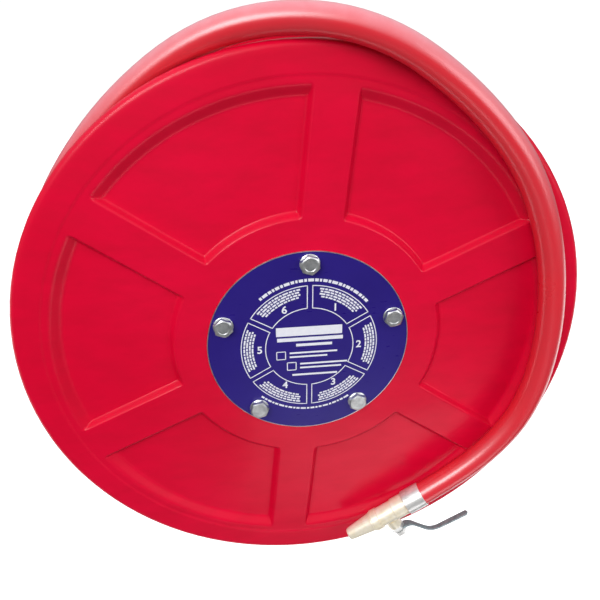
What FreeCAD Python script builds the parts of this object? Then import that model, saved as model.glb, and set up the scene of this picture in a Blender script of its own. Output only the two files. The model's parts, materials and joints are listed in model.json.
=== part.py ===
"""Wall-mounted swinging fire hose reel.

Three frames are used. "wall" and "drum" look at the wall from the front: x runs to the right,
y up and z away from the wall. "pivot" stands upright on the swing axis, z up. "nozzle" lies
along the nozzle: z points at its tip, x along the valve stem and y away from the wall.
In the finished part +X is to the right, +Y into the wall and +Z up, and the origin is the
centre of the wall bolt pattern on the wall's surface.
"""
import FreeCAD, Part
import math
import os
import Sketcher

DOCUMENT = FreeCAD.newDocument("hose_reel")
SHEET = DOCUMENT.addObject("Spreadsheet::Sheet", "sizes")
UPRIGHT = FreeCAD.Rotation(FreeCAD.Vector(1, 0, 0), 90)

DRIVING_SIZES = (
    ("wall_to_pivot", 90, "wall surface to swing axis"),
    ("reach", 200, "swing axis to drum axis"),
    ("rear_plane", 128, "wall surface to the back of the rear disc"),
    ("sheet", 1.5, "disc sheet thickness"),
    ("rim_radius", 280, "outer radius of both discs"),
    ("rim_depth", 9, "height of the turned-back rim"),
    ("rim_bend", 6, "outer radius of the rim's bend"),
    ("recess_depth", 7, "depth of the pressed panels"),
    ("panel_gap", 2, "barrel to the inner edge of the pressed panels"),
    ("rim_band", 34, "width of the flat band outside the pressed panels"),
    ("spoke_width", 38, "width of the raised spokes"),
    ("spoke_lean", 5.2, "clockwise lean of the first spoke, degrees"),
    ("corner_bend", 7, "corner radius of the pressed panels"),
    ("press_bend", 4, "soft bend at the panels' edges"),
    ("disc_hole", 32, "centre hole radius of the discs"),
    ("barrel_radius", 129, "outer radius of the barrel"),
    ("barrel_sheet", 1.2, "barrel sheet thickness"),
    ("barrel_flange", 12, "width of the barrel's turned-in flanges"),
    ("hose_radius", 12.7, "outer radius of the hose"),
    ("turns_across", 5, "hose turns side by side"),
    ("layers", 5, "hose layers"),
    ("side_gap", 5.5, "play between hose and disc"),
    ("hub_radius", 34, "outer radius of the hub"),
    ("hub_chamber", 24, "water chamber radius"),
    ("bush_wall", 4, "wall of the hub bushes"),
    ("bush_length", 18, "length of the hub bushes"),
    ("seal_length", 6, "length of the hub seals"),
    ("spindle_radius", 15, "outer radius of the spindle"),
    ("spindle_bore", 9.5, "water way radius in the spindle"),
    ("running_gap", 0.05, "radial play of turning fits"),
    ("hub_plate", 8, "thickness of the hub plates"),
    ("plate_gap", 17, "edge of the hub and label plates to the barrel's flanges"),
    ("label_thick", 1, "thickness of the label plate"),
    ("bolt_edge", 12.5, "bolt circle to the edge of the hub plates"),
    ("bolt_radius", 5, "radius of the drum bolts"),
    ("bolt_flats", 17, "width across flats of bolts and nuts"),
    ("head_height", 6.4, "height of a bolt head"),
    ("nut_height", 8, "height of a nut"),
    ("bolt_count", 5, "bolts in each hub plate"),
    ("hole_gap", 0.25, "radial play of bolt holes"),
    ("pipe_radius", 16.85, "outer radius of the arm and pivot pipes"),
    ("pipe_wall", 3.2, "wall of the pipes"),
    ("elbow_wall", 4.15, "how far the arm elbow stands proud of its pipe"),
    ("elbow_bend", 32, "centreline radius of the arm elbow"),
    ("back_width", 100, "width of the wall plate"),
    ("back_height", 300, "height of the wall plate"),
    ("back_thick", 6, "thickness of the wall plate"),
    ("hole_across", 70, "wall holes, side to side"),
    ("hole_upright", 240, "wall holes, top to bottom"),
    ("wall_hole", 6.5, "radius of the wall holes"),
    ("lug_height", 95, "swing lugs above and below the arm"),
    ("lug_thick", 8, "thickness of a swing lug"),
    ("lug_wall", 7.15, "metal round the bush in a swing lug"),
    ("swing_bush", 3, "wall of the swing bushes"),
    ("bush_flange", 2, "flange thickness of the swing bushes"),
    ("collar_wall", 7.15, "wall of the collars"),
    ("collar_height", 12, "height of the collars"),
    ("face_gap", 0.3, "play between turning faces"),
    ("gusset_thick", 6, "thickness of the arm gussets"),
    ("gusset_run", 95, "length of a gusset along the arm"),
    ("gusset_rise", 52, "length of a gusset along the pivot pipe"),
    ("inlet_radius", 16.6, "radius of the inlet thread"),
    ("inlet_thread", 28, "length of the inlet thread"),
    ("inlet_bore", 12.5, "bore of the inlet"),
    ("outlet_radius", 11, "outer radius of the hub outlet pipe"),
    ("outlet_bore", 8, "bore of the hub outlet pipe"),
    ("outlet_length", 46, "length of the hub outlet pipe beyond the hub"),
    ("coupling_nut", 24, "length of the hose coupling's nut"),
    ("coupling_flats", 34, "width across flats of the coupling nut"),
    ("tail_front", 17, "hose centre in front of the front disc"),
    ("nozzle_right", 129, "nozzle start to the right of the drum axis"),
    ("nozzle_below", 196, "nozzle start below the drum axis"),
    ("nozzle_slope", 32.4, "fall of the nozzle to the left, degrees"),
    ("ferrule_length", 22, "length of the hose ferrule"),
    ("ferrule_wall", 0.9, "wall of the hose ferrule"),
    ("valve_length", 43, "length of the valve body"),
    ("valve_radius", 12, "outer radius of the valve body"),
    ("valve_neck", 11.1, "radius of the valve's neck at the ball"),
    ("ball_radius", 9.2, "radius of the valve ball"),
    ("ball_from_start", 47, "nozzle start to the ball's centre"),
    ("ball_bore", 5.8, "bore of the ball"),
    ("ball_gap", 0.2, "play round the ball"),
    ("valve_bore", 6.5, "bore behind the ball"),
    ("stem_radius", 3, "radius of the valve stem"),
    ("boss_radius", 8, "radius of the stem boss"),
    ("boss_top", 21, "nozzle axis to the top of the stem boss"),
    ("gland_height", 6, "height of the gland nut"),
    ("lever_thick", 2.5, "lever thickness"),
    ("lever_width", 9.5, "lever width"),
    ("lever_crank", 30, "how far the lever is cranked outwards"),
    ("lever_grip", 46, "length of the lever's grip"),
    ("lever_nut_height", 6, "height of the lever nut"),
    ("tip_length", 33, "length of the nozzle cone"),
    ("tip_radius", 7, "radius of the nozzle cone's mouth"),
    ("tip_bore", 4.5, "jet bore"),
)


class Size:
    """A length or angle together with the sheet formula that gives it."""

    def __init__(self, value, formula):
        self.value = float(value)
        self.formula = formula

    def joined(self, sign, other, value):
        return Size(value, "(" + self.formula + " " + sign + " " + other.formula + ")")

    def __add__(self, other):
        other = as_size(other)
        return self.joined("+", other, self.value + other.value)

    def __sub__(self, other):
        other = as_size(other)
        return self.joined("-", other, self.value - other.value)

    def __mul__(self, other):
        other = as_size(other)
        return self.joined("*", other, self.value * other.value)

    def __truediv__(self, other):
        other = as_size(other)
        return self.joined("/", other, self.value / other.value)

    def __neg__(self):
        return as_size(0) - self

    def __radd__(self, other):
        return as_size(other) + self

    def __rsub__(self, other):
        return as_size(other) - self

    def __rmul__(self, other):
        return as_size(other) * self


def as_size(number):
    if isinstance(number, Size):
        return number
    return Size(number, "(" + repr(float(number)) + ")" if number < 0 else repr(float(number)))


class Sizes:
    """The driving sizes by name, read from the sheet."""


def fill_sheet():
    for row, (alias, value, meaning) in enumerate(DRIVING_SIZES, start=1):
        cell = "B" + str(row)
        SHEET.set("A" + str(row), alias)
        SHEET.set(cell, str(value))
        SHEET.setAlias(cell, alias)
        SHEET.set("C" + str(row), meaning)
    DOCUMENT.recompute()
    sizes = Sizes()
    for alias, _, _ in DRIVING_SIZES:
        setattr(sizes, alias, Size(getattr(SHEET, alias), "sizes." + alias))
    return sizes


s = fill_sheet()

# Places that several pieces share.
s.front_plane = (s.rear_plane + 2 * (s.recess_depth + s.sheet)
                 + 2 * s.hose_radius * s.turns_across + 2 * s.side_gap)
s.winding_radius = s.barrel_radius + s.face_gap + 2 * s.hose_radius * s.layers
s.hub_front = s.front_plane - s.sheet - s.hub_plate
s.hub_rear = s.rear_plane + s.sheet + s.hub_plate
s.hub_bore = s.spindle_radius + s.running_gap + s.bush_wall
s.spindle_start = s.wall_to_pivot + s.elbow_bend
s.lug_top = s.lug_height + s.lug_thick
s.recess_inner = s.barrel_radius + s.panel_gap
s.recess_outer = s.rim_radius - s.rim_band
s.plate_radius = s.barrel_radius - s.barrel_flange - s.plate_gap
s.bolt_circle = s.plate_radius - s.bolt_edge
s.elbow_radius = s.pipe_radius + s.elbow_wall
s.lug_radius = s.pipe_radius + s.swing_bush + s.lug_wall
s.collar_radius = s.pipe_radius + s.collar_wall
s.outlet_station = s.hub_rear + s.bush_length + s.seal_length + s.outlet_radius + s.face_gap
s.lever_low = s.boss_top + s.gland_height + s.face_gap
s.valve_end = s.ferrule_length + s.valve_length


# ---- general helpers ---------------------------------------------------------------------

def bind(thing, **sizes):
    """Tie properties of a document object to the sheet; a double underscore stands for a dot."""
    for name, size in sizes.items():
        thing.setExpression(name.replace("__", "."), as_size(size).formula)
    return thing


def move(thing, x=0, y=0, z=0, turn=None):
    """Place an object; the position is bound to the sheet and the turn is fixed."""
    x, y, z = as_size(x), as_size(y), as_size(z)
    rotation = turn or FreeCAD.Rotation()
    thing.Placement = FreeCAD.Placement(FreeCAD.Vector(x.value, y.value, z.value), rotation)
    return bind(thing, Placement__Base__x=x, Placement__Base__y=y, Placement__Base__z=z)


def about(axis, degrees):
    return FreeCAD.Rotation(FreeCAD.Vector(*axis), degrees)


def cylinder(name, radius, height, x=0, y=0, z=0, turn=None):
    solid = DOCUMENT.addObject("Part::Cylinder", name)
    bind(solid, Radius=radius, Height=height)
    return move(solid, x, y, z, turn)


def box(name, length, width, height, x=0, y=0, z=0, turn=None):
    solid = DOCUMENT.addObject("Part::Box", name)
    bind(solid, Length=length, Width=width, Height=height)
    return move(solid, x, y, z, turn)


def prism(name, flats, height, x=0, y=0, z=0, turn=None):
    """A hexagonal prism given by its width across flats."""
    solid = DOCUMENT.addObject("Part::Prism", name)
    solid.Polygon = 6
    bind(solid, Circumradius=flats / math.sqrt(3), Height=height)
    return move(solid, x, y, z, turn)


def cut(name, base, tool):
    solid = DOCUMENT.addObject("Part::Cut", name)
    solid.Base = base
    solid.Tool = tool
    return solid


def fuse(name, *pieces):
    solid = DOCUMENT.addObject("Part::MultiFuse", name)
    solid.Shapes = list(pieces)
    return solid


def soften(name, base, radius, wanted):
    """Round the edges of base for which wanted(edge) is true."""
    DOCUMENT.recompute()
    solid = DOCUMENT.addObject("Part::Fillet", name)
    solid.Base = base
    chosen = [number for number, edge in enumerate(base.Shape.Edges, start=1) if wanted(edge)]
    solid.Edges = [(number, radius.value, radius.value) for number in chosen]
    return solid


def origin_plane(body, role):
    return next(feature for feature in body.Origin.OriginFeatures if feature.Role == role)


def new_body(name):
    return DOCUMENT.addObject("PartDesign::Body", name)


def new_sketch(body, role, height=0):
    """A sketch on one of the body's own origin planes, lifted along the plane's normal."""
    sketch = body.newObject("Sketcher::SketchObject", body.Name + "_sketch")
    sketch.AttachmentSupport = [(origin_plane(body, role), "")]
    sketch.MapMode = "FlatFace"
    bind(sketch, AttachmentOffset__Base__z=height)
    return sketch


def draw_polygon(sketch, corners):
    """A closed outline whose corners are bound to the sheet, two coordinates each."""
    corners = [(as_size(x), as_size(y)) for x, y in corners]
    first = sketch.GeometryCount
    count = len(corners)
    points = [FreeCAD.Vector(x.value, y.value, 0) for x, y in corners]
    for start, end in zip(points, points[1:] + points[:1]):
        sketch.addGeometry(Part.LineSegment(start, end))
    for number in range(count):
        following = first + (number + 1) % count
        sketch.addConstraint(Sketcher.Constraint("Coincident", first + number, 2, following, 1))
    for number, (x, y) in enumerate(corners):
        for kind, size in (("DistanceX", x), ("DistanceY", y)):
            datum = sketch.addConstraint(
                Sketcher.Constraint(kind, -1, 1, first + number, 1, size.value))
            sketch.setExpression("Constraints[" + str(datum) + "]", size.formula)


def draw_circle(sketch, radius, x=0, y=0):
    radius, x, y = as_size(radius), as_size(x), as_size(y)
    centre = FreeCAD.Vector(x.value, y.value, 0)
    circle = sketch.addGeometry(
        Part.Circle(centre, FreeCAD.Vector(0, 0, 1), radius.value))
    for kind, size in (("DistanceX", x), ("DistanceY", y)):
        datum = sketch.addConstraint(Sketcher.Constraint(kind, -1, 1, circle, 3, size.value))
        sketch.setExpression("Constraints[" + str(datum) + "]", size.formula)
    datum = sketch.addConstraint(Sketcher.Constraint("Radius", circle, radius.value))
    sketch.setExpression("Constraints[" + str(datum) + "]", radius.formula)


def pad(body, sketch, length):
    feature = body.newObject("PartDesign::Pad", body.Name + "_pad")
    feature.Profile = sketch
    bind(feature, Length=length)
    sketch.Visibility = False
    return feature


def pocket(body, sketch):
    """Cut the sketch right through the body, both ways."""
    feature = body.newObject("PartDesign::Pocket", body.Name + "_pocket")
    feature.Profile = sketch
    feature.Type = "ThroughAll"
    feature.SideType = "Symmetric"
    return feature


def turned(name, profile):
    """A body turned about its own z axis from corners given as (radius, height)."""
    body = new_body(name)
    sketch = new_sketch(body, "XZ_Plane")
    draw_polygon(sketch, profile)
    feature = body.newObject("PartDesign::Revolution", name + "_turned")
    feature.Profile = sketch
    feature.ReferenceAxis = (sketch, ["V_Axis"])
    feature.Angle = 360
    return body


def ring(name, inner, outer, low, high):
    return turned(name, ((inner, low), (outer, low), (outer, high), (inner, high)))


def shaped(name, shape):
    feature = DOCUMENT.addObject("Part::Feature", name)
    feature.Shape = shape
    return feature


def copies_round(base, count, radius):
    """The same solid set on a circle about z, the first at the top, as separate solids."""
    solids = []
    for number in range(int(count.value)):
        angle = math.radians(90 + 360 * number / count.value)
        solid = base.Shape.copy()
        solid.translate(FreeCAD.Vector(radius.value * math.cos(angle),
                                       radius.value * math.sin(angle), 0))
        solids.append(solid)
    return Part.makeCompound(solids)


SUB_PARTS = []


def sub_part(thing, label, frame, x=0, y=0, z=0, turn=None):
    """Name a finished piece and put it in its frame."""
    if frame == "wall":
        move(thing, x, -as_size(z), y, UPRIGHT * (turn or FreeCAD.Rotation()))
    elif frame == "drum":
        move(thing, s.reach + x, -as_size(z), y, UPRIGHT * (turn or FreeCAD.Rotation()))
    elif frame == "pivot":
        move(thing, x, -s.wall_to_pivot + y, z, turn)
    elif frame == "nozzle":
        slope = about((0, 1, 0), 90 - s.nozzle_slope.value)
        move(thing, s.reach + s.nozzle_right, -(s.front_plane + s.tail_front),
             -s.nozzle_below, slope * about((1, 0, 0), 180))
    thing.Label = label
    SUB_PARTS.append(thing)
    return thing


# ---- wall bracket and inlet --------------------------------------------------------------

def make_wall_plate():
    body = new_body("wall_plate_body")
    outline = new_sketch(body, "XY_Plane")
    half_width, half_height = s.back_width / 2, s.back_height / 2
    draw_polygon(outline, ((-half_width, -half_height), (half_width, -half_height),
                           (half_width, half_height), (-half_width, half_height)))
    pad(body, outline, s.back_thick)
    holes = new_sketch(body, "XY_Plane")
    for side in (-1, 1):
        for end in (-1, 1):
            draw_circle(holes, s.wall_hole, side * s.hole_across / 2, end * s.hole_upright / 2)
    pocket(body, holes)
    sub_part(body, "wall_plate", "wall")


def make_lug(label, bottom):
    """A swing lug: a flat ear from the wall plate to a round nose about the swing axis."""
    body = new_body(label + "_body")
    ear = new_sketch(body, "XY_Plane")
    draw_polygon(ear, ((-s.lug_radius, 0), (s.lug_radius, 0),
                       (s.lug_radius, s.wall_to_pivot - s.back_thick),
                       (-s.lug_radius, s.wall_to_pivot - s.back_thick)))
    pad(body, ear, s.lug_thick)
    nose = new_sketch(body, "XY_Plane")
    draw_circle(nose, s.lug_radius)
    pad(body, nose, s.lug_thick)
    hole = new_sketch(body, "XY_Plane")
    draw_circle(hole, s.pipe_radius + s.running_gap + s.swing_bush)
    pocket(body, hole)
    sub_part(body, label, "pivot", z=bottom)


def make_swing_bush(label, place, flange_up):
    """A flanged bush pressed into a lug; its flange carries the collar above or below."""
    inner = s.pipe_radius + s.running_gap
    sleeve = inner + s.swing_bush
    flange = s.collar_radius
    top = s.lug_thick
    if flange_up:
        profile = ((inner, 0), (sleeve, 0), (sleeve, top), (flange, top),
                   (flange, top + s.bush_flange), (inner, top + s.bush_flange))
    else:
        profile = ((inner, -s.bush_flange), (flange, -s.bush_flange), (flange, 0), (sleeve, 0),
                   (sleeve, top), (inner, top))
    sub_part(turned(label + "_body", profile), label, "pivot", z=place)


def make_inlet():
    """The swivelling inlet under the lower lug, with a threaded tail for the stop valve."""
    under = -s.lug_top
    inner = s.pipe_radius + s.running_gap
    groove = inner + s.swing_bush
    flange_low = under - 6
    seal_top = under - 12
    seal_low = seal_top - s.seal_length
    shoulder = under - 34
    thread_low = shoulder - 4 - s.inlet_thread
    body = turned("inlet_body_body", (
        (inner, under), (s.lug_radius, under), (s.lug_radius, flange_low),
        (groove + 3, flange_low), (groove + 3, shoulder), (s.inlet_radius, shoulder - 4),
        (s.inlet_radius, thread_low), (s.inlet_bore, thread_low), (s.inlet_bore, shoulder),
        (inner, shoulder), (inner, seal_low), (groove, seal_low), (groove, seal_top),
        (inner, seal_top)))
    sub_part(body, "inlet_body", "pivot")
    seal = ring("inlet_seal_body", inner, groove, seal_low, seal_top)
    sub_part(seal, "inlet_seal", "pivot")


# ---- swing arm ---------------------------------------------------------------------------

def make_pivot_pipe():
    """The upright pipe: open below to take the water, with a side mouth for the arm."""
    bottom = -s.lug_top - 33
    top = s.lug_top + 16
    bore = s.pipe_radius - s.pipe_wall
    pipe = turned("pivot_pipe_body", ((bore, bottom), (s.pipe_radius, bottom),
                                      (s.pipe_radius, top), (bore, top)))
    mouth = new_sketch(pipe, "YZ_Plane")
    draw_circle(mouth, bore)
    opening = pipe.newObject("PartDesign::Pocket", "pivot_pipe_mouth")
    opening.Profile = mouth
    opening.Type = "Length"
    opening.Reversed = True
    bind(opening, Length=s.pipe_radius + 1)
    sub_part(pipe, "pivot_pipe", "pivot")
    cap_edge = s.pipe_radius + 3
    cap = turned("top_cap_body", (
        (0, top), (s.pipe_radius, top), (s.pipe_radius, top - 10), (cap_edge, top - 10),
        (cap_edge, top + 3), (s.pipe_radius - 3, top + 7), (0, top + 9)))
    sub_part(cap, "top_cap", "pivot")


def make_collars():
    """Two clamped collars: one carries the arm on the lower lug, one keeps it from lifting."""
    low = -s.lug_height + s.bush_flange + s.face_gap
    high = s.lug_height - s.bush_flange - s.face_gap - s.collar_height
    for label, bottom in (("thrust_collar", low), ("keeper_collar", high)):
        collar = ring(label + "_body", s.pipe_radius, s.collar_radius,
                      bottom, bottom + s.collar_height)
        sub_part(collar, label, "pivot")


def make_arm_pipe():
    """The arm's pipe, saddled onto the pivot pipe and level with it."""
    level = about((0, 1, 0), 90)
    length = s.reach - s.elbow_bend
    outside = cylinder("arm_outside", s.pipe_radius, length, turn=level)
    inside = cylinder("arm_inside", s.pipe_radius - s.pipe_wall, length, turn=level)
    saddle = cylinder("arm_saddle", s.pipe_radius, 4 * s.pipe_radius, z=-2 * s.pipe_radius)
    tube = cut("arm_tube", outside, inside)
    sub_part(cut("arm_pipe_body", tube, saddle), "arm_pipe", "pivot")


def quarter_bend(name, radius):
    """A quarter of a torus that turns from the arm towards the drum."""
    bend = DOCUMENT.addObject("Part::Torus", name)
    bind(bend, Radius1=s.elbow_bend, Radius2=radius)
    bend.Angle3 = 90
    return move(bend, turn=about((0, 1, 0), 90) * about((1, 0, 0), 90))


def make_arm_elbow():
    """A malleable elbow with a banded socket at each end; its water way is open."""
    bore = s.pipe_radius - s.pipe_wall
    band = s.elbow_radius + 2
    arm_socket, drum_socket = as_size(12), as_size(5)
    level = about((0, 1, 0), 90)
    shell = fuse(
        "elbow_outside", quarter_bend("elbow_bend_outside", s.elbow_radius),
        cylinder("elbow_arm_band", band, arm_socket, -arm_socket, 0, -s.elbow_bend, level),
        cylinder("elbow_drum_band", band, drum_socket, s.elbow_bend))
    core = fuse(
        "elbow_inside", quarter_bend("elbow_bend_inside", bore),
        cylinder("elbow_arm_mouth", s.pipe_radius, arm_socket, -arm_socket, 0,
                 -s.elbow_bend, level),
        cylinder("elbow_drum_mouth", s.spindle_radius, drum_socket, s.elbow_bend))
    sub_part(cut("arm_elbow_body", shell, core), "arm_elbow", "drum",
             x=-s.elbow_bend, z=s.spindle_start)


def make_gusset(label, side):
    """A triangular web welded between the arm and the pivot pipe, above or below the arm."""
    body = new_body(label + "_body")
    web = new_sketch(body, "XZ_Plane", height=-s.gusset_thick / 2)
    start = s.pipe_radius - 1
    draw_polygon(web, ((start, side * start),
                       (s.pipe_radius + s.gusset_run, side * start),
                       (s.pipe_radius + s.gusset_run, side * (s.pipe_radius + 6)),
                       (s.pipe_radius + 6, side * (s.pipe_radius + s.gusset_rise)),
                       (start, side * (s.pipe_radius + s.gusset_rise))))
    pad(body, web, s.gusset_thick)
    upright = cylinder(label + "_upright_pipe", s.pipe_radius, 4 * s.lug_height,
                       z=-2 * s.lug_height)
    level = cylinder(label + "_level_pipe", s.pipe_radius, s.reach,
                     turn=about((0, 1, 0), 90))
    pipes = fuse(label + "_pipes", upright, level)
    sub_part(cut(label + "_cut", body, pipes), label, "pivot")


def make_spindle():
    """The hollow spindle: water enters from the elbow and leaves by cross holes in the hub."""
    front = s.hub_front + s.hub_plate - 1
    plug = s.hub_front - s.bush_length - s.seal_length
    body = new_body("spindle_body")
    section = new_sketch(body, "XZ_Plane")
    draw_polygon(section, ((s.spindle_bore, s.spindle_start), (s.spindle_radius, s.spindle_start),
                           (s.spindle_radius, front), (0, front), (0, plug),
                           (s.spindle_bore, plug)))
    turning = body.newObject("PartDesign::Revolution", "spindle_turned")
    turning.Profile = section
    turning.ReferenceAxis = (section, ["V_Axis"])
    turning.Angle = 360
    middle = (s.hub_front + s.hub_rear) / 2
    for role in ("XZ_Plane", "YZ_Plane"):
        cross = new_sketch(body, role)
        draw_circle(cross, s.stem_radius + 1, 0, middle)
        pocket(body, cross)
    sub_part(body, "spindle", "drum")


def make_spindle_nut():
    washer_bottom = s.hub_front + s.face_gap
    washer_top = washer_bottom + 1.5
    washer = ring("thrust_washer_body", s.spindle_radius, s.disc_hole - 4,
                  washer_bottom, washer_top)
    sub_part(washer, "thrust_washer", "drum")
    nut_flats = 3 * s.spindle_radius
    nut_height = s.hub_plate - 3
    nut = cut("spindle_nut_body", prism("spindle_nut_hexagon", nut_flats, nut_height),
              cylinder("spindle_nut_thread", s.spindle_radius, nut_height))
    sub_part(nut, "spindle_nut", "drum", z=washer_top)
    collar_top = s.hub_rear - s.face_gap
    collar = ring("spindle_collar_body", s.spindle_radius, s.disc_hole - 4,
                  collar_top - s.hub_plate + 2, collar_top)
    sub_part(collar, "spindle_collar", "drum")


# ---- drum --------------------------------------------------------------------------------

def dished_block(name, radius, height, bend):
    """A short round block with a softly bent front edge; its front face is at z = 0."""
    block = cylinder(name, radius, height, z=-height)
    return soften(name + "_bent", block, bend,
                  lambda edge: abs(edge.CenterOfMass.z) < 0.01 and edge.Length > 100)


def pressed_panels(name, growth, depth):
    """Six sector-shaped blocks between the spokes, grown sideways by growth."""
    inner = s.recess_inner - growth
    blocks = cut(name + "_ring", cylinder(name + "_outside", s.recess_outer + growth, depth),
                 cylinder(name + "_inside", inner, depth))
    width = s.spoke_width - 2 * growth
    length = 3 * s.recess_outer
    spokes = []
    for number in range(3):
        turn = about((0, 0, 1), 90 - s.spoke_lean.value + 60 * number)
        corner = turn.multVec(FreeCAD.Vector(-length.value / 2, -width.value / 2, 0))
        spoke = box(name + "_spoke" + str(number), length, width, depth,
                    corner.x, corner.y, 0, turn)
        spokes.append(spoke)
    sectors = cut(name + "_sectors", blocks, fuse(name + "_spokes", *spokes))
    corners = soften(name + "_corners", sectors, s.corner_bend + growth,
                     lambda edge: abs(edge.tangentAt(edge.FirstParameter).z) > 0.9)
    floor = soften(name + "_floor", corners, s.press_bend + growth,
                   lambda edge: abs(edge.CenterOfMass.z) < 0.01)
    return move(floor, z=-depth)


def make_disc(label, z, turn=None):
    """A pressed drum disc: turned-back rim, six recessed panels, raised spokes and centre."""
    outside = dished_block(label + "_outside", s.rim_radius, s.rim_depth, s.rim_bend)
    hollow = dished_block(label + "_hollow", s.rim_radius - s.sheet,
                          s.rim_depth - s.sheet, s.rim_bend - s.sheet)
    move(hollow, z=-s.sheet)
    shell = cut(label + "_shell", outside, hollow)
    panels = pressed_panels(label + "_panels", s.sheet, s.recess_depth + s.sheet)
    recesses = pressed_panels(label + "_recesses", as_size(0), s.recess_depth)
    blank = cut(label + "_blank", fuse(label + "_formed", shell, panels), recesses)
    pressed = soften(label + "_pressed", blank, s.press_bend / 2,
                     lambda edge: abs(edge.BoundBox.ZMin) < 0.01 and abs(edge.BoundBox.ZMax) < 0.01
                     and within_panels(edge))
    holes = [cylinder(label + "_centre_hole", s.disc_hole, 4 * s.sheet, z=-3 * s.sheet)]
    for number in range(int(s.bolt_count.value)):
        angle = math.radians(90 + 360 * number / s.bolt_count.value)
        holes.append(cylinder(label + "_bolt_hole" + str(number), s.bolt_radius + s.hole_gap,
                              4 * s.sheet, math.cos(angle) * s.bolt_circle,
                              math.sin(angle) * s.bolt_circle, -3 * s.sheet))
    disc = cut(label + "_drilled", pressed, fuse(label + "_holes", *holes))
    sub_part(disc, label, "drum", z=z, turn=turn)


def within_panels(edge):
    """True for an edge of the panels' mouths, between the centre and the outer band."""
    point = edge.valueAt((edge.FirstParameter + edge.LastParameter) / 2)
    distance = math.hypot(point.x, point.y)
    return s.recess_inner.value - 1 < distance < s.recess_outer.value + 1


def make_barrel():
    """The rolled barrel with turned-in flanges and a hole for the hose coupling."""
    low, high = s.rear_plane + s.sheet, s.front_plane - s.sheet
    inner = s.barrel_radius - s.barrel_sheet
    lip = s.barrel_radius - s.barrel_flange
    body = turned("barrel_body", (
        (lip, low), (s.barrel_radius, low), (s.barrel_radius, high), (lip, high),
        (lip, high - s.barrel_sheet), (inner, high - s.barrel_sheet),
        (inner, low + s.barrel_sheet), (lip, low + s.barrel_sheet)))
    hole = new_sketch(body, "YZ_Plane")
    draw_circle(hole, s.hose_radius, 0, s.outlet_station)
    opening = body.newObject("PartDesign::Pocket", "barrel_opening")
    opening.Profile = hole
    opening.Type = "Length"
    opening.Reversed = True
    bind(opening, Length=s.barrel_radius + 1)
    sub_part(body, "barrel", "drum")


def make_hub():
    """The hub casting: two bush seats and a water chamber with one side outlet."""
    seat = s.bush_length + s.seal_length
    body = turned("hub_body_turned", (
        (s.hub_bore, s.hub_rear), (s.hub_radius, s.hub_rear), (s.hub_radius, s.hub_front),
        (s.hub_bore, s.hub_front), (s.hub_bore, s.hub_front - seat),
        (s.hub_chamber, s.hub_front - seat), (s.hub_chamber, s.hub_rear + seat),
        (s.hub_bore, s.hub_rear + seat)))
    hole = new_sketch(body, "YZ_Plane")
    draw_circle(hole, s.outlet_radius, 0, s.outlet_station)
    opening = body.newObject("PartDesign::Pocket", "hub_opening")
    opening.Profile = hole
    opening.Type = "Length"
    opening.Reversed = True
    bind(opening, Length=s.hub_radius + 1)
    sub_part(body, "hub_body", "drum")
    inner = s.spindle_radius + s.running_gap
    spans = (("front_bush", s.hub_front - s.bush_length, s.bush_length),
             ("front_seal", s.hub_front - seat, s.seal_length),
             ("rear_bush", s.hub_rear, s.bush_length),
             ("rear_seal", s.hub_rear + s.bush_length, s.seal_length))
    for label, low, length in spans:
        sub_part(ring(label + "_body", inner, s.hub_bore, low, low + length), label, "drum")


def make_hub_plate(label, low, inner):
    body = new_body(label + "_body")
    outline = new_sketch(body, "XY_Plane")
    draw_circle(outline, s.plate_radius)
    draw_circle(outline, inner)
    pad(body, outline, s.hub_plate)
    drill_bolt_circle(body)
    sub_part(body, label, "drum", z=low)


def drill_bolt_circle(body):
    """One drilled hole at the top, repeated round the plate."""
    hole = new_sketch(body, "XY_Plane")
    draw_circle(hole, s.bolt_radius + s.hole_gap, 0, s.bolt_circle)
    drilled = pocket(body, hole)
    pattern = body.newObject("PartDesign::PolarPattern", body.Name + "_pattern")
    pattern.Originals = [drilled]
    pattern.Axis = (hole, ["N_Axis"])
    pattern.Angle = 360
    bind(pattern, Occurrences=s.bolt_count)
    body.Tip = pattern


def make_label_plate():
    """The round enamelled cover over the hub, held by the front bolts."""
    body = new_body("label_plate_body")
    outline = new_sketch(body, "XY_Plane")
    draw_circle(outline, s.plate_radius)
    pad(body, outline, s.label_thick)
    drill_bolt_circle(body)
    sub_part(body, "label_plate", "drum", z=s.front_plane)


def make_bolts(end, head_face, shank_length, nut_face, facing):
    """Bolts and nuts of one hub plate; facing is 1 for heads at the front, -1 at the back."""
    direction = None if facing > 0 else about((0, 1, 0), 180)
    head = prism(end + "_bolt_head", s.bolt_flats, s.head_height)
    round_head = DOCUMENT.addObject("Part::Cone", end + "_bolt_chamfer")
    bind(round_head, Radius1=s.bolt_flats / 2 + 3, Radius2=s.bolt_flats / 2 - 0.8,
         Height=s.head_height)
    chamfered = DOCUMENT.addObject("Part::Common", end + "_bolt_chamfered_head")
    chamfered.Base = head
    chamfered.Tool = round_head
    shank = cylinder(end + "_bolt_shank", s.bolt_radius, shank_length, z=-shank_length)
    bolt = fuse(end + "_bolt", chamfered, shank)
    nut = cut(end + "_nut", prism(end + "_nut_hexagon", s.bolt_flats, s.nut_height),
              cylinder(end + "_nut_thread", s.bolt_radius, s.nut_height))
    DOCUMENT.recompute()
    bolts = shaped(end + "_bolts_group", copies_round(bolt, s.bolt_count, s.bolt_circle))
    sub_part(bolts, end + "_bolts", "drum", z=head_face, turn=direction)
    nuts = shaped(end + "_nuts_group", copies_round(nut, s.bolt_count, s.bolt_circle))
    sub_part(nuts, end + "_nuts", "drum", z=nut_face)


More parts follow.
